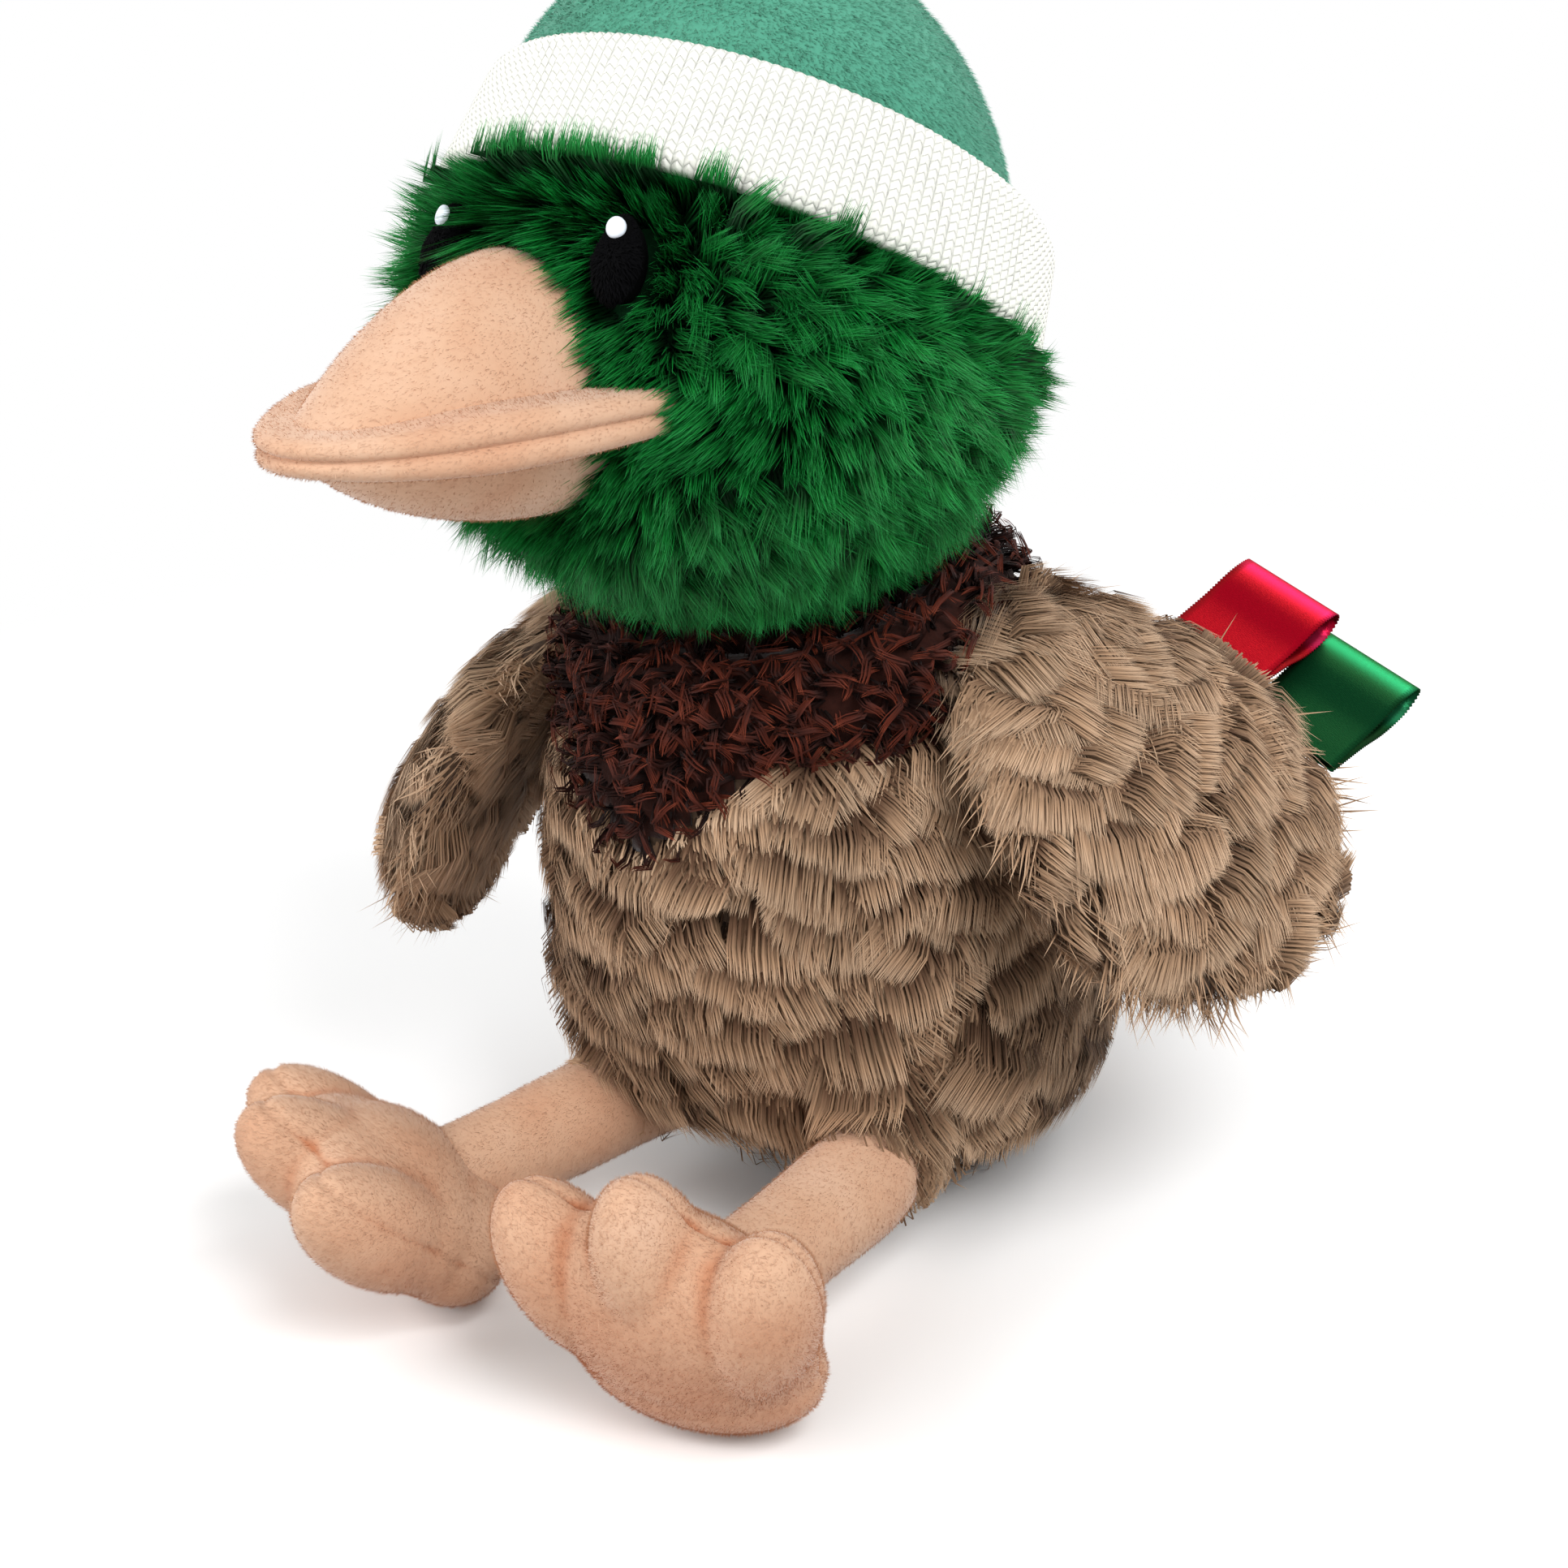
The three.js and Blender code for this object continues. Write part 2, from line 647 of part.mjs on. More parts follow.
// Place of a point that is given from the middle of an eye: x to the side, y inward, z up
function eyeMatrix(side) {
  const place = [side * eyePlace[0], eyePlace[1], eyePlace[2]];
  const normal = new THREE.Vector3(
    (place[0] - headCentre[0]) / headSide ** 2,
    (place[1] - headCentre[1]) / headDepth ** 2,
    (place[2] - headCentre[2]) / headHeight ** 2,
  ).normalize();
  const turn = new THREE.Quaternion().setFromUnitVectors(new THREE.Vector3(0, -1, 0), normal);
  return new THREE.Matrix4().compose(new THREE.Vector3(...place), turn, new THREE.Vector3(1, 1, 1));
}

function eyeForm(side, grow) {
  const radii = [eyeHalfWidth + grow, eyeBulge + grow, eyeHalfHeight + grow];
  return toSolid(unitSphere(...small).scale(...radii)).transform(eyeMatrix(side).elements);
}

// The white dot that is stitched on the upper part of an eye
function glintForm(side) {
  const out = eyeBulge * Math.sqrt(1 - (glintRise / eyeHalfHeight) ** 2);
  const place = new THREE.Vector3(0, -out, glintRise).applyMatrix4(eyeMatrix(side));
  return ellipsoid(place.toArray(), Array(3).fill(glintRadius), dot);
}

function buildHead(parent) {
  const outer = headForm(0, shown);
  const inner = headForm(coverThickness, hidden);
  const opening = neckOpening();
  const shell = outer.subtract(inner).subtract(opening);
  addPiece(parent, 'head_cover', shell, colours.green, 0.9);
  const filling = headForm(coverThickness + seamGap, hidden).subtract(opening);
  addPiece(parent, 'head_stuffing', filling, colours.stuffing, 1);

  const face = headForm(-seamGap, shown);
  const lip = lipForm(0);
  const lipRoom = lipForm(seamGap);
  const level = [0, 0, lipHeight];
  const upper = billForm(upperBillRise, billTaper.upper)
    .intersect(halfSpace(level, 0, 1))
    .subtract(lipRoom)
    .subtract(face);
  const lower = billForm(lowerBillDrop, billTaper.lower)
    .intersect(halfSpace(level, 0, -1))
    .subtract(lipRoom)
    .subtract(face);
  addPiece(parent, 'upper_bill', largest(upper), colours.peach, 0.9);
  addPiece(parent, 'lower_bill', largest(lower), colours.peach, 0.9);
  addPiece(parent, 'bill_lip', largest(lip.subtract(face)), colours.peach, 0.9);

  for (const [side, name] of [[1, 'left'], [-1, 'right']]) {
    const eye = eyeForm(side, 0).subtract(face);
    const glint = glintForm(side).subtract(eyeForm(side, seamGap)).subtract(face);
    addPiece(parent, `${name}_eye`, largest(eye), colours.black, 0.6);
    addPiece(parent, `${name}_eye_glint`, largest(glint), colours.white, 0.4);
  }
}

function buildHat(parent) {
  const matrix = new THREE.Matrix4().makeTranslation(...cuffCentre)
    .multiply(new THREE.Matrix4().makeRotationX(hatTilt * degrees));
  const normal = [0, -Math.sin(hatTilt * degrees), Math.cos(hatTilt * degrees)];
  const domeRadii = [domeSide, domeDepth, domeRise];
  const hollow = ellipsoid(domeCentre, domeRadii.map((radius) => radius - hatThickness));
  const start = cuffCentre.map((value, i) => value + normal[i] * hatTuck);
  const dome = ellipsoid(domeCentre, domeRadii)
    .subtract(hollow)
    .intersect(halfSpace(start, hatTilt, 1));
  addPiece(parent, 'hat_dome', dome, colours.teal, 0.9);

  const sleeve = [
    [0, 0],
    [1 - cuffFold / cuffLowSide, 0],
    [1, cuffFold],
    [cuffTopSide / cuffLowSide, cuffHeight - cuffFold],
    [(cuffTopSide - cuffFold) / cuffLowSide, cuffHeight],
    [0, cuffHeight],
  ];
  const lathe = new THREE.LatheGeometry(sleeve.map(([r, z]) => new THREE.Vector2(r, z)), shown[0]);
  const shaped = reshape(lathe.rotateX(Math.PI / 2), ([x, y, z]) => {
    const depth = THREE.MathUtils.lerp(cuffLowDepth, cuffTopDepth, z / cuffHeight);
    const side = THREE.MathUtils.lerp(cuffLowSide, cuffTopSide, z / cuffHeight);
    return [x * cuffLowSide, y * cuffLowSide * depth / side, z];
  });
  const domeRoom = ellipsoid(domeCentre, domeRadii.map((radius) => radius + seamGap));
  const band = toSolid(shaped).transform(matrix.elements).subtract(domeRoom);
  addPiece(parent, 'hat_cuff', largest(band), colours.cream, 0.95);
}

// A ribbon folded into a loop, its two ends sewn together at the origin; it runs along +Y.
// The inner outline lies within the outer one by the ribbon's thickness.
function ribbonLoop(length) {
  const steps = 9;
  const outline = (inset, from) => {
    const tip = length - inset;
    const half = (share) => THREE.MathUtils.lerp(ribbonRootHalf, ribbonHalfOpen, share) - inset;
    const upper = new THREE.CatmullRomCurve3([
      new THREE.Vector3(from, half(0), 0),
      ...ribbonSwell.map(([place, open]) => new THREE.Vector3(place * tip, half(open), 0)),
      new THREE.Vector3(tip, 0, 0),
    ]).getPoints(steps);
    const top = upper.map((point) => new THREE.Vector2(point.x, point.y));
    const bottom = top.slice(0, -1).reverse().map((point) => new THREE.Vector2(point.x, -point.y));
    return [...top, ...bottom];
  };
  const shape = new THREE.Shape(outline(0, 0));
  shape.holes.push(new THREE.Path(outline(ribbonThickness, ribbonSewn).reverse()));
  const loop = new THREE.ExtrudeGeometry(shape, { depth: ribbonWidth, bevelEnabled: false });
  // The extrusion's X, Y and Z become the loop's length (Y), thickness (X) and width (-Z)
  return toSolid(loop.translate(0, 0, -ribbonWidth / 2).applyMatrix4(new THREE.Matrix4().set(
    0, 1, 0, 0,
    1, 0, 0, 0,
    0, 0, -1, 0,
    0, 0, 0, 1,
  )));
}

function buildRibbons(wing) {
  const rise = ribbonRise * degrees;
  const back = new THREE.Vector2(Math.cos(rise), -Math.sin(rise)); // rearward, downward
  const edge = new THREE.Vector2(Math.sin(rise), Math.cos(rise));
  const rim = new THREE.CatmullRomCurve3(
    wingOutline.map(([y, z]) => new THREE.Vector3(y, z, 0)),
    true,
  ).getPoints(rimSteps);
  const step = ribbonWidth + ribbonGap;
  const loops = [
    ['red_ribbon_loop', redPlace, redLength, colours.red],
    ['green_ribbon_loop', redPlace + step, greenLength, colours.ribbonGreen],
  ];
  for (const [name, place, length, colour] of loops) {
    const beside = rim.filter((point) => {
      const across = point.x * edge.x + point.y * edge.y;
      return point.x > 0 && Math.abs(across - place) < ribbonWidth / 2;
    });
    const out = Math.max(...beside.map((point) => point.x * back.x + point.y * back.y));
    const root = out + seamGap;
    const down = root * back.y + place * edge.y;
    const rear = root * back.x + place * edge.x;
    const holder = new THREE.Group();
    holder.position.set(archAt(down), rear, -down);
    holder.rotation.x = rise;
    wing.add(holder);
    addPiece(holder, name, ribbonLoop(length), colour, 0.35);
  }
}

function buildWing(side, name) {
  const holder = new THREE.Group();
  holder.applyMatrix4(wingMatrix(side, wingFlare[name]));
  group.add(holder);
  const outer = swung(wingForm(0, wingFacets), name).add(wingRoot(0));
  const filling = swung(wingForm(coverThickness, hidden), name);
  const shell = outer.subtract(filling);
  const outside = swung(archedSpace(seamGap / 2), name);
  const inside = swung(archedSpace(-seamGap / 2), name);
  const stuffing = swung(wingForm(coverThickness + seamGap, hidden), name);
  const front = onSide(largest(shell.intersect(outside)), side);
  const rear = onSide(largest(shell.subtract(inside)), side);
  addPiece(holder, `${name}_wing_outer`, front, colours.taupe, 0.95);
  addPiece(holder, `${name}_wing_inner`, rear, colours.taupeDark, 0.95);
  addPiece(holder, `${name}_wing_stuffing`, onSide(stuffing, side), colours.stuffing, 1);
  if (side > 0) {
    const swing = new THREE.Group();
    swing.rotation.x = wingSwing[name] * degrees;
    holder.add(swing);
    buildRibbons(swing);
  }
}

// The space outside the wing's middle surface, which is arched like the wing
function archedSpace(offset) {
  const points = [new THREE.Vector2(beyond, beyond), new THREE.Vector2(offset, beyond)];
  const steps = 8;
  for (let i = 0; i <= steps; i += 1) {
    const down = wingLength * i / steps;
    points.push(new THREE.Vector2(offset + archAt(down), -down));
  }
  points.push(new THREE.Vector2(offset, -beyond), new THREE.Vector2(beyond, -beyond));
  const side = new THREE.Shape(points);
  const slab = new THREE.ExtrudeGeometry(side, { depth: 2 * beyond, bevelEnabled: false });
  return toSolid(slab.rotateX(Math.PI / 2).translate(0, beyond, 0));
}

function buildLeg(side, name) {
  const frame = legs[name];
  addPiece(group, `${name}_leg`, placedLeg(frame), colours.peach, 0.9);
  const matrix = footMatrix(frame, side, name);
  const turn = side * footTurn[name] * degrees;
  const radius = ankleRadius + swingGap;
  const span = [legReach - limbRoom * radius, legReach];
  const axis = [Math.cos(turn), Math.sin(turn), 0];
  const swing = [-ankleSwing, ankleSwing];
  const room = swingRoom(frame, frame.end.toArray(), radius, span, axis, swing);
  const foot = footForm().transform(matrix.elements).subtract(room);
  const front = (gap) => {
    const box = new THREE.BoxGeometry(2 * beyond, 2 * beyond, 2 * beyond);
    return toSolid(box.translate(0, soleSplit - gap - beyond, 0)).transform(matrix.elements);
  };
  addPiece(group, `${name}_foot_sole`, largest(foot.intersect(front(seamGap / 2))), colours.peach, 0.9);
  addPiece(group, `${name}_foot_top`, largest(foot.subtract(front(-seamGap / 2))), colours.peach, 0.9);
}

buildTorso();

const head = new THREE.Group();
head.position.set(...neckCentre, 0);
head.rotation.z = headTurn * degrees;
group.add(head);
const headLocal = new THREE.Group();
headLocal.position.set(-neckCentre[0], -neckCentre[1], 0);
head.add(headLocal);
buildHead(headLocal);
buildHat(headLocal);

buildWing(1, 'left');
buildWing(-1, 'right');
buildLeg(1, 'left');
buildLeg(-1, 'right');

const duck = new THREE.Group();
group.position.y = -seatMiddle;
duck.add(group);

export default duck;
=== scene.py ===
import math

import bmesh
import bpy
import numpy as np
from mathutils import Euler, Matrix, Vector
from mathutils.bvhtree import BVHTree
from mathutils.kdtree import KDTree


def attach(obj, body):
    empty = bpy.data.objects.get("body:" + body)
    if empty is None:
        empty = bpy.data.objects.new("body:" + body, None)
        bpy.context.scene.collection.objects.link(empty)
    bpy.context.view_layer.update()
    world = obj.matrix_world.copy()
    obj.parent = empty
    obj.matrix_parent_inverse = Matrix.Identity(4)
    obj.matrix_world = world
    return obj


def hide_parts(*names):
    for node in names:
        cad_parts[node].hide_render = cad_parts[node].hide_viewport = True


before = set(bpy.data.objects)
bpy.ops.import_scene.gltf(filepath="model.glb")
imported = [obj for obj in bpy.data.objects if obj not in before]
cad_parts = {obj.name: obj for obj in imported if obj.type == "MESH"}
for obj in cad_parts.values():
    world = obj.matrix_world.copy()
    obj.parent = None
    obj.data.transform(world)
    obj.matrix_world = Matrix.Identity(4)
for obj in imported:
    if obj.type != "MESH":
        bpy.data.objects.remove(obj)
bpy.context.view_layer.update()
mm = 0.001
print('frame loaded')


# Where the parts are. The duck faces -Y; the neck's line is seatShift in front of the origin.
duck = {
    'seatShift': -23,
    'neck': (0, -10, 143),
    'headTurn': -7,
    'shoulder': (39, 2, 114),
    'wingTurn': 13,
    'wingFlare': {'left': 39, 'right': 33},
    'wingSwing': {'left': 4, 'right': -20},
    'hip': {'left': (30, -54, 21), 'right': (-28, -44, 21)},
    'ankle': {'left': (27.4, -102.9, 19.1), 'right': (-40.7, -91.3, 19.4)},
    'footTurn': {'left': 3, 'right': 37},
    'footLean': {'left': 21, 'right': 45},
    'anklePlace': (0, 4, 18),
}
sides = {'left': 1, 'right': -1}


def shifted(x, y, z):
    return Matrix.Translation(Vector((x, y, z)) * mm)


def turnedAbout(axis, angle):
    return Matrix.Rotation(math.radians(angle), 4, axis)


seatPlace = shifted(0, duck['seatShift'], 0)
neckX, neckY, neckZ = duck['neck']
headPlace = seatPlace @ shifted(0, neckY, 0) @ turnedAbout('Z', duck['headTurn']) @ shifted(0, -neckY, 0)


def wingPlace(name):
    side = sides[name]
    x, y, z = duck['shoulder']
    place = seatPlace @ shifted(side * x, y, z)
    place = place @ turnedAbout('Z', -side * duck['wingTurn'])
    place = place @ turnedAbout('Y', -side * duck['wingFlare'][name])
    return place @ turnedAbout('X', duck['wingSwing'][name])


def footPlace(name):
    side = sides[name]
    turn = turnedAbout('Z', side * duck['footTurn'][name]) @ turnedAbout('X', duck['footLean'][name])
    ankle = Vector(duck['ankle'][name]) - turn @ Vector(duck['anklePlace'])
    return Matrix.Translation(ankle * mm) @ turn


# Modelling helpers
def deselect():
    if bpy.context.object and bpy.context.object.mode != 'OBJECT':
        bpy.ops.object.mode_set(mode='OBJECT')
    bpy.ops.object.select_all(action='DESELECT')


def choose(piece):
    deselect()
    piece.select_set(True)
    bpy.context.view_layer.objects.active = piece


def settle(piece, place=None):  # the object ends at the origin, its place in its mesh
    choose(piece)
    if place is not None:
        piece.matrix_world = place @ piece.matrix_world
        bpy.context.view_layer.update()
    bpy.ops.object.transform_apply(location=True, rotation=True, scale=True)
    return piece


def finish(piece, kind, **settings):  # adds a modifier and applies it
    choose(piece)
    modifier = piece.modifiers.new(kind.lower(), kind)
    for key, value in settings.items():
        setattr(modifier, key, value)
    bpy.ops.object.modifier_apply(modifier=modifier.name)
    return piece


def smoothShaded(piece):
    choose(piece)
    bpy.ops.object.shade_smooth()
    return piece


def newest(name):
    piece = bpy.context.object
    piece.name = name
    piece.data.name = name
    return piece


def selectWhere(test):  # in edit mode: selects the vertices whose place passes
    mesh = bmesh.from_edit_mesh(bpy.context.object.data)
    for vertex in mesh.verts:
        vertex.select = bool(test(vertex.co))
    mesh.select_flush_mode()
    bmesh.update_edit_mesh(bpy.context.object.data)


def outward(piece):
    choose(piece)
    bpy.ops.object.mode_set(mode='EDIT')
    bpy.ops.mesh.select_all(action='SELECT')
    bpy.ops.mesh.remove_doubles(threshold=1e-6)
    bpy.ops.mesh.normals_make_consistent(inside=False)
    bpy.ops.object.mode_set(mode='OBJECT')
    return piece


def pushed(piece, amount):  # moves each vertex along its normal by amount(places, normals), in mm
    mesh = piece.data
    places = np.empty(len(mesh.vertices) * 3)
    normals = np.empty(len(mesh.vertices) * 3)
    mesh.vertices.foreach_get('co', places)
    mesh.vertices.foreach_get('normal', normals)
    places, normals = places.reshape(-1, 3), normals.reshape(-1, 3)
    places = places + normals * amount(places / mm, normals)[:, None] * mm
    mesh.vertices.foreach_set('co', places.ravel())
    mesh.update()
    return piece


def ball(name, centre, radii, segments=48, rings=24):
    deselect()
    bpy.ops.mesh.primitive_uv_sphere_add(segments=segments, ring_count=rings, radius=mm,
                                         location=Vector(centre) * mm, scale=radii)
    return settle(newest(name))


# A stack of rings along +Z, made by extruding a circle. A ring is (z, x, y, right, left, rear, front):
# its middle and how far it reaches from there. Both ends are closed.
def loft(name, rings, columns=32):
    deselect()
    bpy.ops.mesh.primitive_circle_add(vertices=columns, radius=mm, fill_type='TRIFAN')
    piece = newest(name)
    bpy.ops.object.mode_set(mode='EDIT')
    last = (0, 0, 0, 1, 1, 1, 1)
    for number, ring in enumerate(rings):
        if number == 1:
            bpy.ops.mesh.region_to_loop()
        if number > 0:
            bpy.ops.mesh.extrude_region_move()
        mesh = bmesh.from_edit_mesh(piece.data)
        loop = [vertex.index for vertex in mesh.verts if vertex.select]
        middle = Vector(last[1:3]).to_3d() * mm
        middle.z = last[0] * mm
        for axis, sign, reach in ((0, 1, 3), (0, -1, 4), (1, 1, 5), (1, -1, 6)):
            mesh = bmesh.from_edit_mesh(piece.data)
            mesh.verts.ensure_lookup_table()
            bpy.ops.mesh.select_all(action='DESELECT')
            for index in loop:
                vertex = mesh.verts[index]
                vertex.select = (vertex.co[axis] - middle[axis]) * sign > 1e-9
            bmesh.update_edit_mesh(piece.data)
            ratio = [1, 1, 1]
            ratio[axis] = ring[reach] / last[reach]
            bpy.ops.transform.resize(value=ratio, center_override=middle)
        mesh = bmesh.from_edit_mesh(piece.data)
        mesh.verts.ensure_lookup_table()
        for index in loop:
            mesh.verts[index].select = True
        mesh.select_flush_mode()
        mesh.select_flush(True)
        bmesh.update_edit_mesh(piece.data)
        move = (ring[1] - last[1], ring[2] - last[2], ring[0] - last[0])
        bpy.ops.transform.translate(value=Vector(move) * mm)
        last = ring
    bpy.ops.mesh.extrude_region_move()
    bpy.ops.mesh.merge(type='CENTER')
    bpy.ops.mesh.select_all(action='SELECT')
    bpy.ops.mesh.normals_make_consistent(inside=False)
    bpy.ops.object.mode_set(mode='OBJECT')
    return settle(piece)


def joined(name, pieces):
    deselect()
    for piece in pieces:
        piece.select_set(True)
    bpy.context.view_layer.objects.active = pieces[0]
    bpy.ops.object.join()
    return newest(name)


# Colours
def paint(red, green, blue):  # a colour as the eye sees it, 0 to 255, made linear
    shares = [value / 255 for value in (red, green, blue)]
    return [v / 12.92 if v <= 0.04045 else ((v + 0.055) / 1.055) ** 2.4 for v in shares] + [1]


def newMaterial(name, roughness, sheen=0.0, specular=0.3):
    material = bpy.data.materials.new(name)
    material.use_nodes = True
    tree = material.node_tree
    shader = tree.nodes['Principled BSDF']
    shader.inputs['Roughness'].default_value = roughness
    shader.inputs['Sheen Weight'].default_value = sheen
    shader.inputs['Sheen Roughness'].default_value = 0.4
    shader.inputs['Specular IOR Level'].default_value = specular
    return material, tree, shader


def link(tree, source, target):
    tree.links.new(source, target)


def ramp(tree, stops, value):
    node = tree.nodes.new('ShaderNodeValToRGB')
    line = node.color_ramp
    while len(line.elements) < len(stops):
        line.elements.new(0.5)
    for element, (place, colour) in zip(line.elements, stops):
        element.position = place
        element.color = colour
    link(tree, value, node.inputs['Fac'])
    return node.outputs['Color']


def noise(tree, scale, detail=3.0, stretch=(1, 1, 1), source='Object'):
    coordinates = tree.nodes.new('ShaderNodeTexCoord')
    mapping = tree.nodes.new('ShaderNodeMapping')
    mapping.inputs['Scale'].default_value = stretch
    texture = tree.nodes.new('ShaderNodeTexNoise')
    texture.inputs['Scale'].default_value = scale
    texture.inputs['Detail'].default_value = detail
    link(tree, coordinates.outputs[source], mapping.inputs['Vector'])
    link(tree, mapping.outputs['Vector'], texture.inputs['Vector'])
    return texture.outputs['Fac']


def mixed(tree, kind, factor, first, second):
    node = tree.nodes.new('ShaderNodeMix')
    node.data_type = 'RGBA'
    node.blend_type = kind
    node.clamp_factor = True
    for socket, value in zip((node.inputs[0], node.inputs[6], node.inputs[7]), (factor, first, second)):
        if isinstance(value, (int, float, list, tuple)):
            socket.default_value = value
        else:
            link(tree, value, socket)
    return node.outputs[2]


def readAttribute(tree, name):
    node = tree.nodes.new('ShaderNodeAttribute')
    node.attribute_name = name
    return node.outputs['Fac']


def addBump(tree, shader, height, strength, distance):
    bump = tree.nodes.new('ShaderNodeBump')
    bump.inputs['Strength'].default_value = strength
    bump.inputs['Distance'].default_value = distance * mm
    link(tree, height, bump.inputs['Height'])
    link(tree, bump.outputs['Normal'], shader.inputs['Normal'])


# Pile: painted shade makes it dark at the root, where it lies deep under other strands, and the pile's own paler
# tips make it pale at the tip; each strand and each patch in its own tone
def pileMaterial(name, look):
    material, tree, shader = newMaterial(name, look['roughness'], look['sheen'], look['specular'])
    along = readAttribute(tree, 'along')
    tone_and_shade = readAttribute(tree, 'tone_and_shade')
    stops = [(place, paint(*look[key])) for place, key in look['stops']]
    colour = ramp(tree, stops, along)
    strand = ramp(tree, [(0.0, [look['dark']] * 3 + [1]), (1.0, [look['light']] * 3 + [1])], tone_and_shade)
    colour = mixed(tree, 'MULTIPLY', 1.0, colour, strand)
    patch = ramp(tree, [(0.35, [look['patch']] * 3 + [1]), (0.65, [1, 1, 1, 1])],
                 noise(tree, look['patchScale']))
    colour = mixed(tree, 'MULTIPLY', 1.0, colour, patch)
    # painted shade: strands in creases are mixed towards a darker colour by how sunk their root is
    if 'hollow' in look:
        colour = mixed(tree, 'MIX', readAttribute(tree, 'hollow'), colour, paint(*look['hollow']))
    link(tree, colour, shader.inputs['Base Color'])
    return material


# The cloth that the pile stands in
def backingMaterial(name, colour, roughness=0.9):
    material, tree, shader = newMaterial(name, roughness, 0.2, 0.1)
    weave = noise(tree, 900, 2.0)
    dark = [value * 0.7 for value in paint(*colour)[:3]] + [1]
    link(tree, ramp(tree, [(0.3, dark), (0.7, paint(*colour))], weave), shader.inputs['Base Color'])
    addBump(tree, shader, weave, 0.4, 0.4)
    return material


# Velour: very short dense pile that is paler where it is brushed up
def velourMaterial(name, look):
    material, tree, shader = newMaterial(name, 0.85, look['sheen'], 0.2)
    brushed = noise(tree, look['patchScale'], 4.0)
    fine = noise(tree, 1400, 2.0)
    stops = [(0.3, paint(*look['shade'])), (0.52, paint(*look['body'])), (0.75, paint(*look['light']))]
    colour = ramp(tree, stops, brushed)
    # painted shade: creases are mixed towards a darker orange by how sunk the cloth is
    colour = mixed(tree, 'MIX', readAttribute(tree, 'hollow'), colour, paint(*look['hollow']))
    grain = ramp(tree, [(0.3, [look['grain']] * 3 + [1]), (0.7, [1, 1, 1, 1])], fine)
    colour = mixed(tree, 'MULTIPLY', 1.0, colour, grain)
    link(tree, colour, shader.inputs['Base Color'])
    addBump(tree, shader, fine, 0.12, 0.25)
    return material


def coat(piece, material):
    piece.data.materials.clear()
    piece.data.materials.append(material)
    return piece


# Pile as strands. A pelt is the cloth that the strands stand in.
def unit(vectors):
    return vectors / np.maximum(np.linalg.norm(vectors, axis=-1, keepdims=True), 1e-12)


class Pelt:
    def __init__(self, skin):
        mesh = skin.data
        mesh.calc_loop_triangles()
        self.places = np.empty(len(mesh.vertices) * 3)
        mesh.vertices.foreach_get('co', self.places)
        self.places = self.places.reshape(-1, 3)
        self.normals = np.empty(len(mesh.vertices) * 3)
        mesh.vertices.foreach_get('normal', self.normals)
        self.normals = self.normals.reshape(-1, 3)
        self.tris = np.empty(len(mesh.loop_triangles) * 3, np.int32)
        mesh.loop_triangles.foreach_get('vertices', self.tris)
        self.tris = self.tris.reshape(-1, 3)
        corners = self.places[self.tris]
        cross = np.cross(corners[:, 1] - corners[:, 0], corners[:, 2] - corners[:, 0])
        self.areas = np.linalg.norm(cross, axis=1)
        self.tree = BVHTree.FromPolygons(self.places.tolist(), self.tris.tolist())

    def scatter(self, count, rng, keep=None):  # random places on the cloth, and its normals there
        places, normals, found = [], [], 0
        while found < count:
            amount = count * 2
            chosen = rng.choice(len(self.tris), amount, p=self.areas / self.areas.sum())
            first, second = rng.random((2, amount))
            flip = first + second > 1
            first[flip], second[flip] = 1 - first[flip], 1 - second[flip]
            shares = np.stack([1 - first - second, first, second], 1)[:, :, None]
            place = (self.places[self.tris[chosen]] * shares).sum(1)
            normal = unit((self.normals[self.tris[chosen]] * shares).sum(1))
            if keep is not None:
                kept = keep(place, normal)
                place, normal = place[kept], normal[kept]
            places.append(place)
            normals.append(normal)
            found += len(place)
        return np.concatenate(places)[:count], np.concatenate(normals)[:count]

    def follow(self, points):  # the nearest places on the cloth, and its normals there
        hits = [self.tree.find_nearest(point) for point in points.tolist()]
        places = np.array([hit[0] for hit in hits])
        normals = np.array([hit[1] for hit in hits])
        return places, normals


def nearestOf(seeds, points):
    tree = KDTree(len(seeds))
    for number, seed in enumerate(seeds.tolist()):
        tree.insert(seed, number)
    tree.balance()
    return np.array([tree.find(point)[1] for point in points.tolist()])


def alongSkin(vectors, normals):
    return unit(vectors - (vectors * normals).sum(1, keepdims=True) * normals)


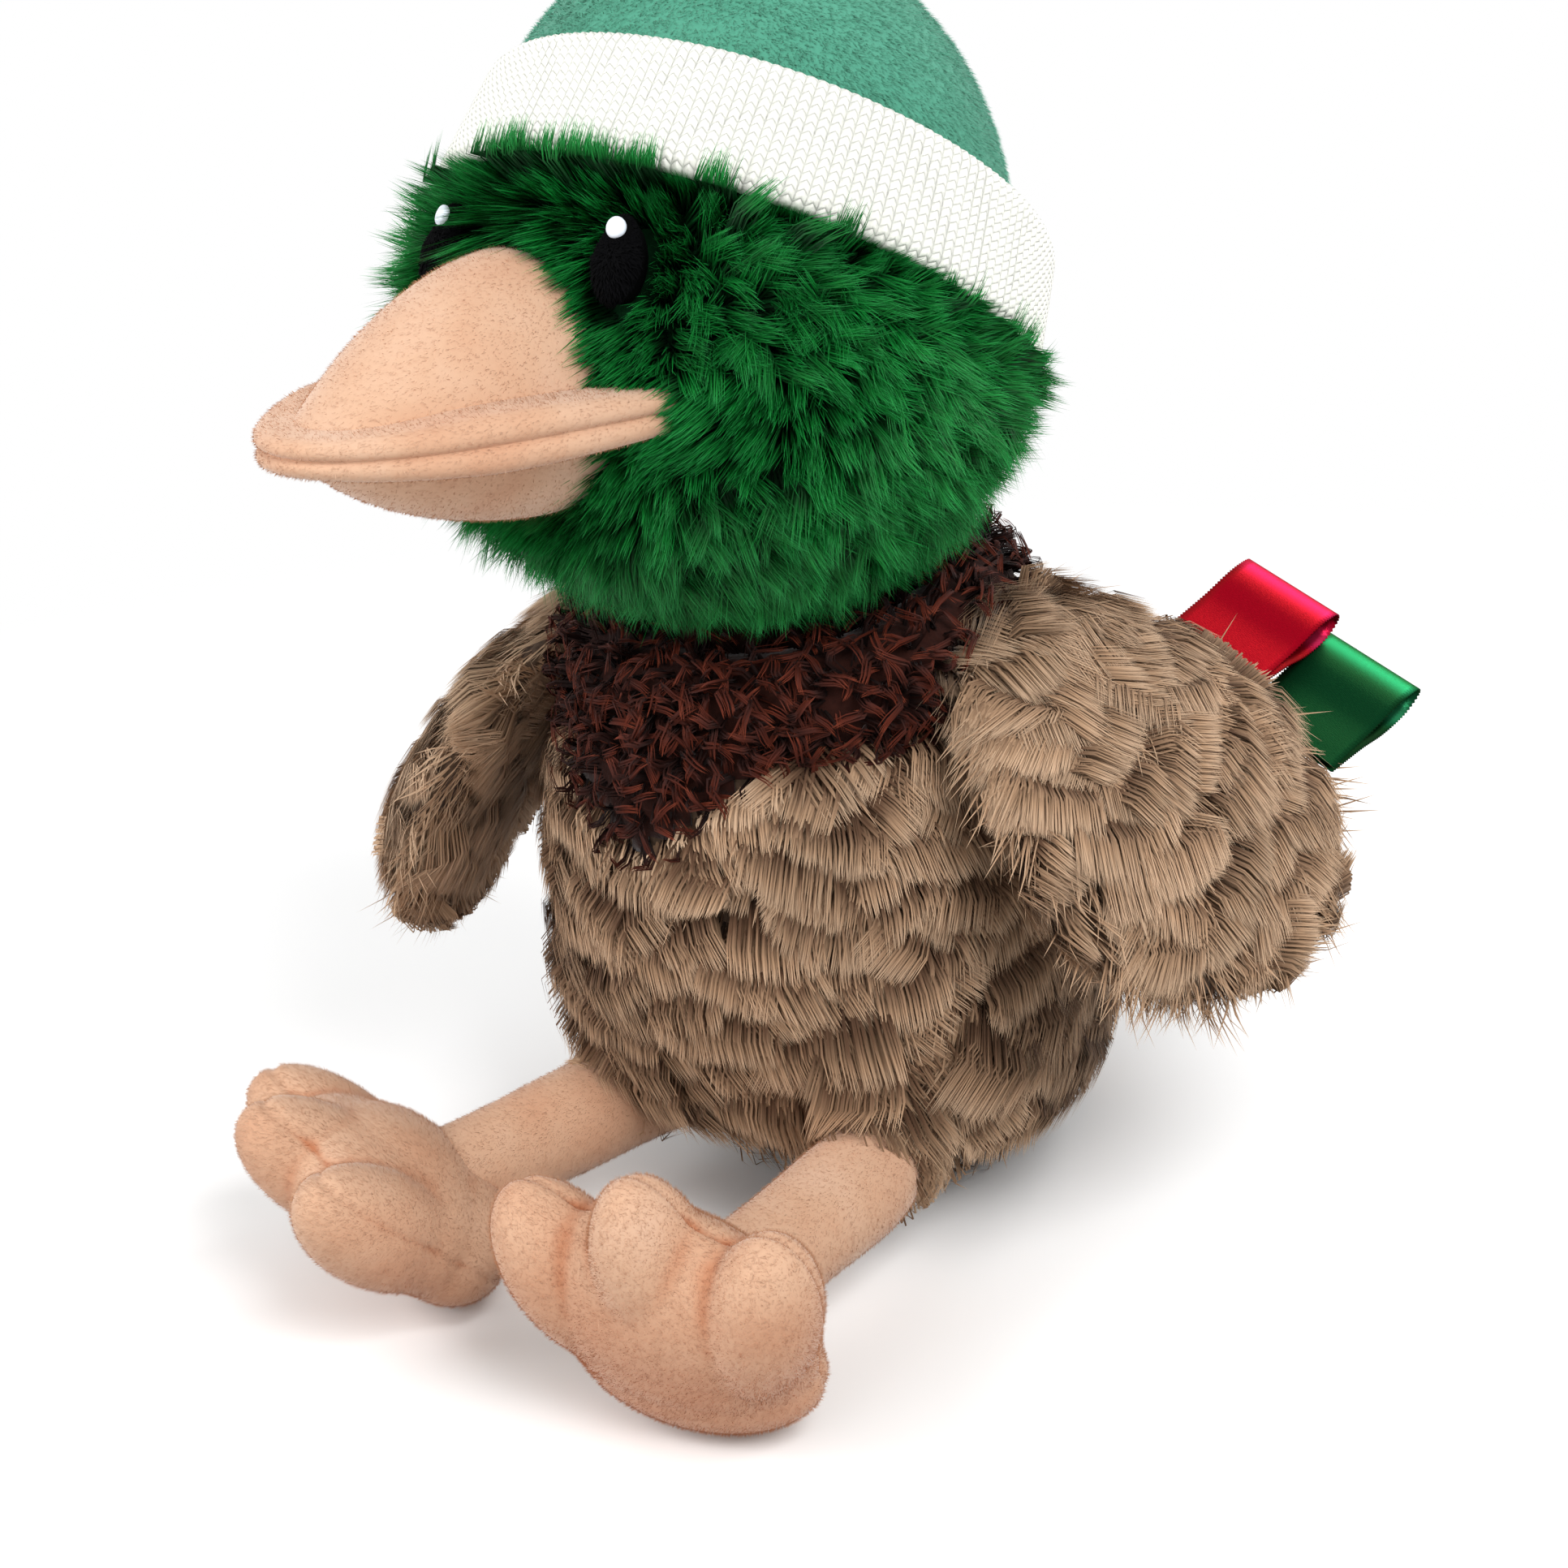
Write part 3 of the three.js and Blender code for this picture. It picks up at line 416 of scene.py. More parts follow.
# One mesh of many flat tapered strands. paths holds the points of each, root first.
def strands(name, paths, widths, facing, tones, material, rng, roll=0.3, taper=0.55, hollow=None,
            along=None):
    count, points = paths.shape[:2]
    steps = points - 1
    tangents = unit(np.gradient(paths, axis=1))
    side = unit(np.cross(tangents, facing[:, None, :]))
    angle = rng.normal(0, roll, (count, 1, 1))
    side = side * np.cos(angle) + np.cross(tangents, side) * np.sin(angle)
    share = np.linspace(0, 1, points)[None, :steps, None]
    half = widths[:, None, None] / 2 * (1 - taper * share ** 1.5)
    left = paths[:, :steps] - side[:, :steps] * half
    right = paths[:, :steps] + side[:, :steps] * half
    rims = np.stack([left, right], 2).reshape(count, steps * 2, 3)
    vertices = np.concatenate([rims, paths[:, steps:]], 1)
    each = steps * 2 + 1
    base = (np.arange(count) * each)[:, None]
    faces = []
    for step in range(steps - 1):
        low = step * 2
        faces += [base + [low, low + 1, low + 3], base + [low, low + 3, low + 2]]
    faces.append(base + [each - 3, each - 2, each - 1])
    triangles = np.stack(faces, 1).reshape(-1, 3)
    mesh = bpy.data.meshes.new(name)
    mesh.vertices.add(count * each)
    mesh.vertices.foreach_set('co', vertices.ravel())
    mesh.loops.add(triangles.size)
    mesh.loops.foreach_set('vertex_index', triangles.ravel().astype(np.int32))
    mesh.polygons.add(len(triangles))
    mesh.polygons.foreach_set('loop_start', np.arange(0, triangles.size, 3, dtype=np.int32))
    mesh.update(calc_edges=True)
    if along is None:
        along = np.tile(np.linspace(0, 1, points), (count, 1))
    along = np.concatenate([np.repeat(along[:, :steps], 2, axis=1), along[:, steps:]], 1)
    hollow = np.zeros(count) if hollow is None else hollow
    for key, values in (('along', along.ravel()), ('tone_and_shade', np.repeat(tones, each)),
                        ('hollow', np.repeat(hollow, each))):
        mesh.attributes.new(key, 'FLOAT', 'POINT').data.foreach_set('value', values.astype(np.float32))
    piece = bpy.data.objects.new(name, mesh)
    bpy.context.scene.collection.objects.link(piece)
    coat(piece, material)
    smoothShaded(piece)
    print(name, len(triangles), 'triangles')
    return piece


def dressed(piece, body, slot, *nodes):
    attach(piece, body)
    if nodes:
        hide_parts(*nodes)
    return piece


# Camera, at the photograph's viewing angle, and the plain studio
studio = {
    'azimuth': 33.8, 'elevation': 20.2, 'roll': -3.4, 'distance': 471.9,
    'target': (8.66, -41.1, 88.8), 'lens': 60.56, 'sensor': 36,
    'floor': 20000, 'nearWhite': 0.22, 'farWhite': 0.5, 'world': 0.52,
    'lamps': [
        {'name': 'keyLamp', 'place': (660, -360, 760), 'size': 460, 'watts': 7.2},
        {'name': 'frontLamp', 'place': (-60, -900, 380), 'size': 600, 'watts': 1.9},
        {'name': 'fillLamp', 'place': (-700, -600, 500), 'size': 600, 'watts': 5.2},
        {'name': 'rearLamp', 'place': (300, 800, 700), 'size': 500, 'watts': 4.0},
    ],
}


def buildStudio():
    azimuth, elevation = math.radians(studio['azimuth']), math.radians(studio['elevation'])
    back = Vector((math.sin(azimuth) * math.cos(elevation), -math.cos(azimuth) * math.cos(elevation),
                   math.sin(elevation)))
    right = Vector((math.cos(azimuth), math.sin(azimuth), 0))
    up = back.cross(right)
    turn = Matrix((right, up, back)).transposed() @ Matrix.Rotation(math.radians(studio['roll']), 3, 'Z')
    camera = bpy.data.objects.new('camera', bpy.data.cameras.new('camera'))
    bpy.context.scene.collection.objects.link(camera)
    camera.data.lens = studio['lens']
    camera.data.sensor_width = studio['sensor']
    camera.data.sensor_fit = 'HORIZONTAL'
    camera.data.clip_start = 0.01
    place = (Vector(studio['target']) + back * studio['distance']) * mm
    camera.matrix_world = Matrix.Translation(place) @ turn.to_4x4()
    bpy.context.scene.camera = camera
    for lamp in studio['lamps']:
        light = bpy.data.lights.new(lamp['name'], 'AREA')
        light.size = lamp['size'] * mm
        light.energy = lamp['watts']
        holder = bpy.data.objects.new(lamp['name'], light)
        bpy.context.scene.collection.objects.link(holder)
        place = Vector(lamp['place']) * mm
        aim = (Vector(studio['target']) * mm - place).to_track_quat('-Z', 'Y')
        holder.matrix_world = Matrix.Translation(place) @ aim.to_matrix().to_4x4()
    deselect()
    bpy.ops.mesh.primitive_plane_add(size=studio['floor'] * mm)
    floor = newest('floor')
    material, tree, shader = newMaterial('paleFloor', 0.9, 0.0, 0.1)
    shader.inputs['Base Color'].default_value = (0.6, 0.6, 0.6, 1)
    rays = tree.nodes.new('ShaderNodeLightPath')
    pale = tree.nodes.new('ShaderNodeBsdfDiffuse')  # what the camera sees, with the shadow on it
    pale.inputs['Color'].default_value = (0.97, 0.97, 0.97, 1)
    glow = tree.nodes.new('ShaderNodeEmission')
    coordinates = tree.nodes.new('ShaderNodeTexCoord')
    away = tree.nodes.new('ShaderNodeVectorMath')
    away.operation = 'LENGTH'
    link(tree, coordinates.outputs['Object'], away.inputs[0])
    far = tree.nodes.new('ShaderNodeMapRange')
    far.inputs['From Min'].default_value = studio['nearWhite']
    far.inputs['From Max'].default_value = studio['farWhite']
    link(tree, away.outputs['Value'], far.inputs['Value'])
    fade = tree.nodes.new('ShaderNodeMixShader')
    blend = tree.nodes.new('ShaderNodeMixShader')
    output = tree.nodes['Material Output']
    link(tree, far.outputs['Result'], fade.inputs[0])
    link(tree, pale.outputs[0], fade.inputs[1])
    link(tree, glow.outputs[0], fade.inputs[2])
    link(tree, rays.outputs['Is Camera Ray'], blend.inputs[0])
    link(tree, shader.outputs[0], blend.inputs[1])
    link(tree, fade.outputs[0], blend.inputs[2])
    link(tree, blend.outputs[0], output.inputs['Surface'])
    coat(floor, material)
    world = bpy.context.scene.world or bpy.data.worlds.new('studio')
    bpy.context.scene.world = world
    world.use_nodes = True
    tree = world.node_tree
    tree.nodes.clear()
    soft = tree.nodes.new('ShaderNodeBackground')
    soft.inputs['Strength'].default_value = studio['world']
    white = tree.nodes.new('ShaderNodeBackground')
    rays = tree.nodes.new('ShaderNodeLightPath')
    seen = tree.nodes.new('ShaderNodeMath')
    seen.operation = 'MAXIMUM'
    through = tree.nodes.new('ShaderNodeMath')
    through.operation = 'MAXIMUM'
    blend = tree.nodes.new('ShaderNodeMixShader')
    output = tree.nodes.new('ShaderNodeOutputWorld')
    soft.inputs['Color'].default_value = (1, 1, 1, 1)
    white.inputs['Color'].default_value = (1, 1, 1, 1)
    link(tree, rays.outputs['Is Camera Ray'], seen.inputs[0])
    link(tree, rays.outputs['Is Glossy Ray'], seen.inputs[1])
    link(tree, seen.outputs[0], through.inputs[0])
    link(tree, rays.outputs['Is Transmission Ray'], through.inputs[1])
    link(tree, through.outputs[0], blend.inputs[0])
    link(tree, soft.outputs[0], blend.inputs[1])
    link(tree, white.outputs[0], blend.inputs[2])
    link(tree, blend.outputs[0], output.inputs['Surface'])
    bpy.context.scene.view_settings.view_transform = 'Standard'
    print('studio ready')


buildStudio()


# Torso: a pear on a flat seat, its neck leaning forward
torso = {
    'height': 116, 'side': 53.5, 'front': 48, 'back': 71, 'middle': 11,
    'neckLean': 21, 'leanBend': 1.6, 'rounding': 3, 'seatBack': 12, 'seatBend': 0.45,
    'seatRadius': 27, 'inset': 4.5, 'seatLift': 1.2,
    'profile': [(0.505, 0), (0.64, 0.035), (0.74, 0.086), (0.88, 0.172), (0.965, 0.28), (1.0, 0.4),
                (0.985, 0.54), (0.925, 0.7), (0.83, 0.82), (0.7, 0.91), (0.56, 0.98), (0.3, 1.0)],
}


def torsoRings(inset):
    rings = []
    for width, up in torso['profile']:
        flat = 1 - up ** torso['rounding']
        evened = torso['side'] * (1 - flat)
        rear = torso['back'] * flat + evened
        front = torso['front'] * flat + evened
        sat = torso['seatBack'] * max(0, 1 - up / torso['seatBend']) ** 2
        y = torso['middle'] + sat - torso['neckLean'] * up ** torso['leanBend']
        z = torso['seatLift'] + up * (torso['height'] - inset)
        across = width * (torso['side'] - inset)
        rings.append((z, 0, y, across, across, width * (rear - inset), width * (front - inset)))
    return rings


torsoSkin = settle(loft('torso_cloth', torsoRings(torso['inset']), 36), seatPlace)
finish(torsoSkin, 'SUBSURF', levels=2, render_levels=2)
smoothShaded(torsoSkin)
coat(torsoSkin, backingMaterial('taupe cloth', (92, 74, 60)))
dressed(torsoSkin, 'torso', 'taupe_pile', 'body_cover', 'body_stuffing', 'bean_pouch')
print('torso cloth')


# Bib zone, as the collar is cut: a V on the chest, a level edge at the sides and back
bib = {'tip': (-6, 82), 'slope': 0.72, 'edge': 104, 'backFrom': -33}


def inBib(places, grow=0.0):  # grow in mm lowers the edge
    x, y, z = (places / mm).T
    chest = bib['tip'][1] + np.abs(x - bib['tip'][0]) * bib['slope']
    edge = np.where(y < bib['backFrom'], np.minimum(chest, bib['edge']), bib['edge'])
    return z > edge - grow


torsoPile = {
    'seed': 11, 'strands': 65000, 'rowHeight': 7.6, 'top': 112, 'bottom': 3, 'tuft': 12.0, 'wave': 2.4,
    'reach': 1.6, 'lift': 5.6, 'width': 0.42, 'scallop': 2.6, 'slant': 0.34, 'ragged': 0.3, 'turn': 0.3,
    'loose': 0.03, 'stray': 0.12, 'roll': 0.12, 'curve': 0.5, 'legClear': 10.8,
    'look': {
        'roughness': 0.75, 'sheen': 0.06, 'specular': 0.12, 'dark': 0.8, 'light': 1.16,
        'patch': 0.86, 'patchScale': 55,
        'stops': [(0.0, 'root'), (0.42, 'low'), (0.7, 'body'), (1.0, 'tip')],
        'root': (34, 22, 15), 'low': (94, 68, 50), 'body': (170, 137, 108), 'tip': (214, 183, 153),
    },
}


# Middles of the lower edges of overlapping tufts, in rows round the torso
def torsoTufts(pelt, spec, rng):
    places = []
    rows = int((spec['top'] - spec['bottom']) / spec['rowHeight'])
    for row in range(rows):
        height = spec['bottom'] + row * spec['rowHeight']
        share = np.clip(height / torso['height'], 0, 1)
        girth = 2 * math.pi * torso['side'] * np.interp(share, *np.array(torso['profile']).T[::-1])
        count = max(6, int(girth / spec['tuft']))
        turn = (np.arange(count) + 0.5 * (row % 2) + rng.normal(0, 0.22, count)) / count * 2 * math.pi
        wave = spec['wave'] * np.sin(3 * turn + rng.random() * 6) + rng.normal(0, 1.1, count)
        y = torso['middle'] - torso['neckLean'] * share ** torso['leanBend'] + duck['seatShift']
        points = np.stack([60 * np.sin(turn), y + 60 * np.cos(turn), height + wave], 1)
        places.append(points * mm)
    return pelt.follow(np.concatenate(places))


# Overlapping flat tufts like shingles: strands of a tuft lie side by side and end on its edge
def shingles(name, pelt, seeds, normals, downs, spec, material, rng, keep=None):
    count = spec['strands']
    tufts = len(seeds)
    width = spec['tuft'] * rng.uniform(0.85, 1.5, tufts)
    length = spec['rowHeight'] * spec['reach'] * rng.uniform(0.85, 1.25, tufts)
    lift = spec['lift'] * rng.uniform(0.55, 1.25, tufts)
    slant = rng.normal(0, spec['slant'], tufts)
    scallop = spec['scallop'] * rng.uniform(0.1, 1.6, tufts)
    across = np.cross(normals, downs)
    mine = rng.integers(0, tufts, count)
    if 'near' in spec:
        lift = lift * spec['near'](seeds)
        length = length * spec['near'](seeds) ** 0.7
    side = rng.uniform(-0.5, 0.5, count)
    back = rng.random(count) ** 0.8
    edge = scallop[mine] * (1 - 4 * side ** 2) - slant[mine] * side * width[mine]
    edge += rng.normal(0, spec['ragged'], count)
    a = side * width[mine]
    start = seeds[mine] + (across[mine] * a[:, None] - downs[mine] * (back * length[mine])[:, None]) * mm
    spread = a * rng.uniform(0.98, 1.12, count)
    swing = rng.normal(0, spec['curve'], tufts)[mine] * (0.4 + 0.6 * back)
    end = seeds[mine] + (across[mine] * (spread + swing * 1.6)[:, None] + downs[mine] * edge[:, None]) * mm
    root, rootNormal = pelt.follow(start)
    tip, tipNormal = pelt.follow(end)
    middle, middleNormal = pelt.follow((start * 0.45 + end * 0.55))
    height = lift[mine] * (0.3 + 0.7 * back) + rng.normal(0, 0.15, count)
    crown = middle + middleNormal * (height * 0.9)[:, None] * mm
    tip = tip + tipNormal * (height * 1.0)[:, None] * mm
    paths = np.stack([root, crown, tip], 1)
    # painted shade: the deeper a strand starts under the tuft above, the darker its colour, so dark lines show
    # under the tufts' edges
    along = 1 - np.array([1.0, 0.5, 0.0]) * (back + rng.normal(0, 0.06, count))[:, None]
    loose = int(count * spec['loose'])  # some strands lie between the tufts
    places, placeNormals = pelt.scatter(loose, rng)
    owner = nearestOf(seeds, places)
    way = alongSkin(downs[owner] + rng.normal(0, spec['stray'], (loose, 3)), placeNormals)
    reach = length[owner] * rng.uniform(0.4, 0.9, loose)
    rise = lift[owner] * rng.uniform(0.25, 0.75, loose)
    bend = places + (way * (reach * 0.5)[:, None] + placeNormals * (rise * 0.8)[:, None]) * mm
    end = places + (way * reach[:, None] + placeNormals * rise[:, None]) * mm
    paths[:loose] = np.stack([places, bend, end], 1)
    rootNormal[:loose] = placeNormals
    mine[:loose] = owner
    # painted shade: loose strands between the tufts are coloured part way down the dark ramp
    along[:loose] = (0.25, 0.6, 0.95)
    along = np.clip(along, 0, 1)
    if keep is not None:
        kept = keep(paths)
        paths, rootNormal, mine, along = paths[kept], rootNormal[kept], mine[kept], along[kept]
    widths = spec['width'] * rng.uniform(0.8, 1.3, len(paths)) * mm
    tones = np.clip(rng.normal(0.5, 0.08, len(paths)) + rng.normal(0, 0.18, tufts)[mine], 0, 1)
    # painted light: the pile's colour is lifted towards the tips by a set amount per wing, most on the right
    # wing, which lies in shade
    along = along + (1 - along) * spec.get('pale', 0)
    return strands(name, paths, widths, rootNormal, tones, material, rng, roll=spec['roll'], along=along)


def aboveFloor(paths):
    paths[:, :, 2] = np.maximum(paths[:, :, 2], 0.0004)
    return paths


def overLegs(paths):  # strands that would end in a leg lie on it
    for side in sides:
        hip, ankle = np.array(duck['hip'][side]) * mm, np.array(duck['ankle'][side]) * mm
        way = unit(ankle - hip)
        clear = (torsoPile['legClear'] + 0.4) * mm
        for step in (1, 2):
            out = paths[:, step] - hip
            along = out @ way
            across = out - along[:, None] * way
            away = np.maximum(np.linalg.norm(across, axis=1), 0.1 * mm)
            sunk = np.where((along > -22 * mm) & (away < clear), clear - away, 0)
            paths[:, step] += across / away[:, None] * sunk[:, None] + way * (sunk * 0.5)[:, None]
    return paths


torsoPileMaterial = pileMaterial('taupe pile', torsoPile['look'])


def growTorso():
    rng = np.random.default_rng(torsoPile['seed'])
    pelt = Pelt(torsoSkin)
    seeds, normals = torsoTufts(pelt, torsoPile, rng)
    downs = alongSkin(np.tile([0.0, 0.0, -1.0], (len(seeds), 1)), normals)
    turn = rng.normal(0, torsoPile['turn'], (len(seeds), 1))
    downs = downs * np.cos(turn) + np.cross(normals, downs) * np.sin(turn)

    def keep(paths):
        aboveFloor(overLegs(paths))
        return ~inBib(paths[:, 0])

    def overHips(places):  # tufts stand out over the legs' roots
        near = np.full(len(places), 99.0)
        for side in sides:
            hip, ankle = np.array(duck['hip'][side]), np.array(duck['ankle'][side])
            root = hip - (ankle - hip) * 0.25 + [0, 0, 9]
            near = np.minimum(near, np.linalg.norm(places / mm - root, axis=1))
        return 1 + 1.2 * np.exp(-(near / 18) ** 2)

    spec = dict(torsoPile)
    spec['near'] = overHips
    for part in ('lower', 'upper'):
        pile = shingles('torso_pile_' + part, pelt, seeds, normals, downs, spec, torsoPileMaterial,
                        rng, keep)
        dressed(pile, 'torso', 'taupe_pile')


growTorso()


# Collar: a roll round the neck and a bib, both of curly brown pile
collar = {
    'ruffRadius': 31, 'ruffThickness': 14.5, 'ruffCentre': (0, 1, 112), 'ruffTilt': 13, 'inset': 4.0,
    'seed': 21, 'locks': 4000, 'each': 7, 'length': 6.6, 'rise': 3.8, 'width': 0.36, 'spread': 0.62,
    'look': {
        'roughness': 0.65, 'sheen': 0.03, 'specular': 0.12, 'dark': 0.55, 'light': 1.25,
        'patch': 0.8, 'patchScale': 60,
        'stops': [(0.0, 'root'), (0.4, 'low'), (0.8, 'body'), (1.0, 'tip')],
        'root': (14, 4, 3), 'low': (42, 15, 9), 'body': (88, 35, 21), 'tip': (136, 64, 42),
    },
}


def buildCollar():
    deselect()
    minor = collar['ruffThickness'] - collar['inset']
    bpy.ops.mesh.primitive_torus_add(major_segments=72, minor_segments=24,
                                     major_radius=collar['ruffRadius'] * mm, minor_radius=minor * mm)
    ruff = newest('collar_cloth')
    place = seatPlace @ shifted(*collar['ruffCentre']) @ turnedAbout('X', collar['ruffTilt'])
    settle(ruff, place)
    choose(torsoSkin)
    bpy.ops.object.duplicate()
    patch = newest('bib_patch')
    bpy.ops.object.mode_set(mode='EDIT')
    selectWhere(lambda place: not inBib(np.array([place]), 2.0)[0])
    bpy.ops.mesh.delete(type='VERT')
    bpy.ops.mesh.select_all(action='SELECT')
    bpy.ops.transform.shrink_fatten(value=0.8 * mm)
    bpy.ops.object.mode_set(mode='OBJECT')
    for key in list(patch.keys()):
        del patch[key]
    patch.parent = None
    finish(patch, 'SOLIDIFY', thickness=0.6 * mm, offset=-1)
    cloth = joined('collar_cloth', [ruff, patch])
    smoothShaded(cloth)
    coat(cloth, backingMaterial('brown cloth', (46, 20, 14)))
    dressed(cloth, 'torso', 'brown_curly_pile', 'collar_bib')
    return cloth


collarSkin = buildCollar()


# Curly pile: short locks of fine strands, each lock with its own wave
def growCurls(name, skin, spec, material, body, slot, keep=None):
    rng = np.random.default_rng(spec['seed'])
    pelt = Pelt(skin)
    locks, each = spec['locks'], spec['each']
    roots, normals = pelt.scatter(locks, rng, keep)
    way = alongSkin(rng.normal(size=(locks, 3)) + [0, 0, -0.6], normals)
    bend = np.cross(normals, way)
    length = spec['length'] * rng.uniform(0.7, 1.25, locks)[:, None] * mm
    rise = spec['rise'] * rng.uniform(0.6, 1.4, locks)[:, None] * mm
    curl = rng.choice([-1, 1], locks)[:, None] * rng.uniform(0.15, 0.34, locks)[:, None] * length
    mine = np.repeat(np.arange(locks), each)
    own = rng.uniform(0.8, 1.1, (len(mine), 1))
    side = rng.normal(0, spec['spread'], (len(mine), 1)) * mm
    depth = rng.uniform(-0.6, 0.6, (len(mine), 1)) * mm
    paths = []
    for share in np.linspace(0, 1, 5):
        up = rise * math.sin(math.pi * min(share * 1.15, 1) * 0.8)
        wave = bend * curl * math.sin(share * 4.6) + way * length * share * 0.9
        middle = roots + wave + normals * up
        close = 1 - 0.75 * share
        paths.append(middle[mine] + bend[mine] * side * close + normals[mine] * depth * close
                     + (way * length)[mine] * (own - 1) * share)
    paths = np.stack(paths, 1)
    widths = spec['width'] * rng.uniform(0.7, 1.3, len(mine)) * mm
    tones = np.clip(rng.normal(0.5, 0.12, len(mine)) + rng.normal(0, 0.2, locks)[mine], 0, 1)
    pile = strands(name, paths, widths, normals[mine], tones, material, rng, roll=0.4, taper=0.5)
    return dressed(pile, body, slot)


collarMaterial = pileMaterial('brown curls', collar['look'])
growCurls('collar_curls', collarSkin, collar, collarMaterial, 'torso', 'brown_curly_pile')
print('collar')


# Neck: a short curly tube between collar and head
neck = {'radius': 19, 'foot': 98, 'top': 146, 'inset': 2}


def buildNeck():
    radius = neck['radius'] - neck['inset']
    rings = [(z, neckX, neckY, radius, radius, radius, radius)
             for z in np.linspace(neck['foot'], neck['top'], 5)]
    tube = settle(loft('neck_cloth', rings, 24), seatPlace)
    smoothShaded(tube)
    coat(tube, backingMaterial('neck cloth', (40, 18, 13)))
    dressed(tube, 'neck', 'brown_curly_pile', 'neck_stuffing')


buildNeck()


# Head: a round of cloth with long silky pile
head = {
    'centre': (0, -14.5, 168.5), 'radii': (56, 53.5, 48.5), 'inset': 7.5,
    'seed': 31, 'strands': 66000, 'locks': 1900, 'length': 11.0, 'width': 0.3,
    'stand': 58, 'pull': 0.36, 'face': (0, -62, 172), 'billHole': (17.5, 17, 169), 'lipHole': (26, 4.4),
    'look': {
        'roughness': 0.55, 'sheen': 0.0, 'specular': 0.2, 'dark': 0.62, 'light': 1.28,
        'patch': 0.8, 'patchScale': 45,
        'stops': [(0.0, 'root'), (0.45, 'low'), (0.8, 'body'), (1.0, 'tip')],
        'root': (0, 20, 6), 'low': (0, 58, 20), 'body': (8, 122, 44), 'tip': (52, 168, 88),
    },
}
headRadii = [radius - head['inset'] for radius in head['radii']]
headSkin = settle(ball('head_cloth', head['centre'], headRadii, 64, 40), headPlace)
smoothShaded(headSkin)
coat(headSkin, backingMaterial('green cloth', (2, 44, 18)))
dressed(headSkin, 'head', 'green_pile', 'head_cover', 'head_stuffing')
print('head cloth')

hat = {
    'tilt': -34, 'cuffCentre': (0, -11.5, 175.5), 'cuffHeight': 22,
    'lowRadii': (55, 52.5), 'topRadii': (51, 50), 'edge': 2.5,
    'domeCentre': (0, -8.5, 183), 'domeRadii': (46.5, 45, 52), 'tuck': 4,
}
hatPlace = headPlace @ shifted(*hat['cuffCentre']) @ turnedAbout('X', hat['tilt'])


def inPlace(places, place):  # places in mm, seen from a part's own frame
    back = np.array(place.inverted())
    return (places @ back[:3, :3].T + back[:3, 3]) / mm


eye = {
    'place': (19.3, -59.8, 190), 'halfWidth': 4.8, 'halfHeight': 8.8, 'bulge': 2.6,
    'glintRadius': 2.1, 'glintRise': 3.9,
}


def eyePlace(side):
    x, y, z = eye['place']
    place = Vector((side * x, y, z))
    normal = Vector([(p - c) / r ** 2 for p, c, r in zip(place, head['centre'], head['radii'])])
    turn = Vector((0, -1, 0)).rotation_difference(normal.normalized()).to_matrix().to_4x4()
    return headPlace @ shifted(*place) @ turn


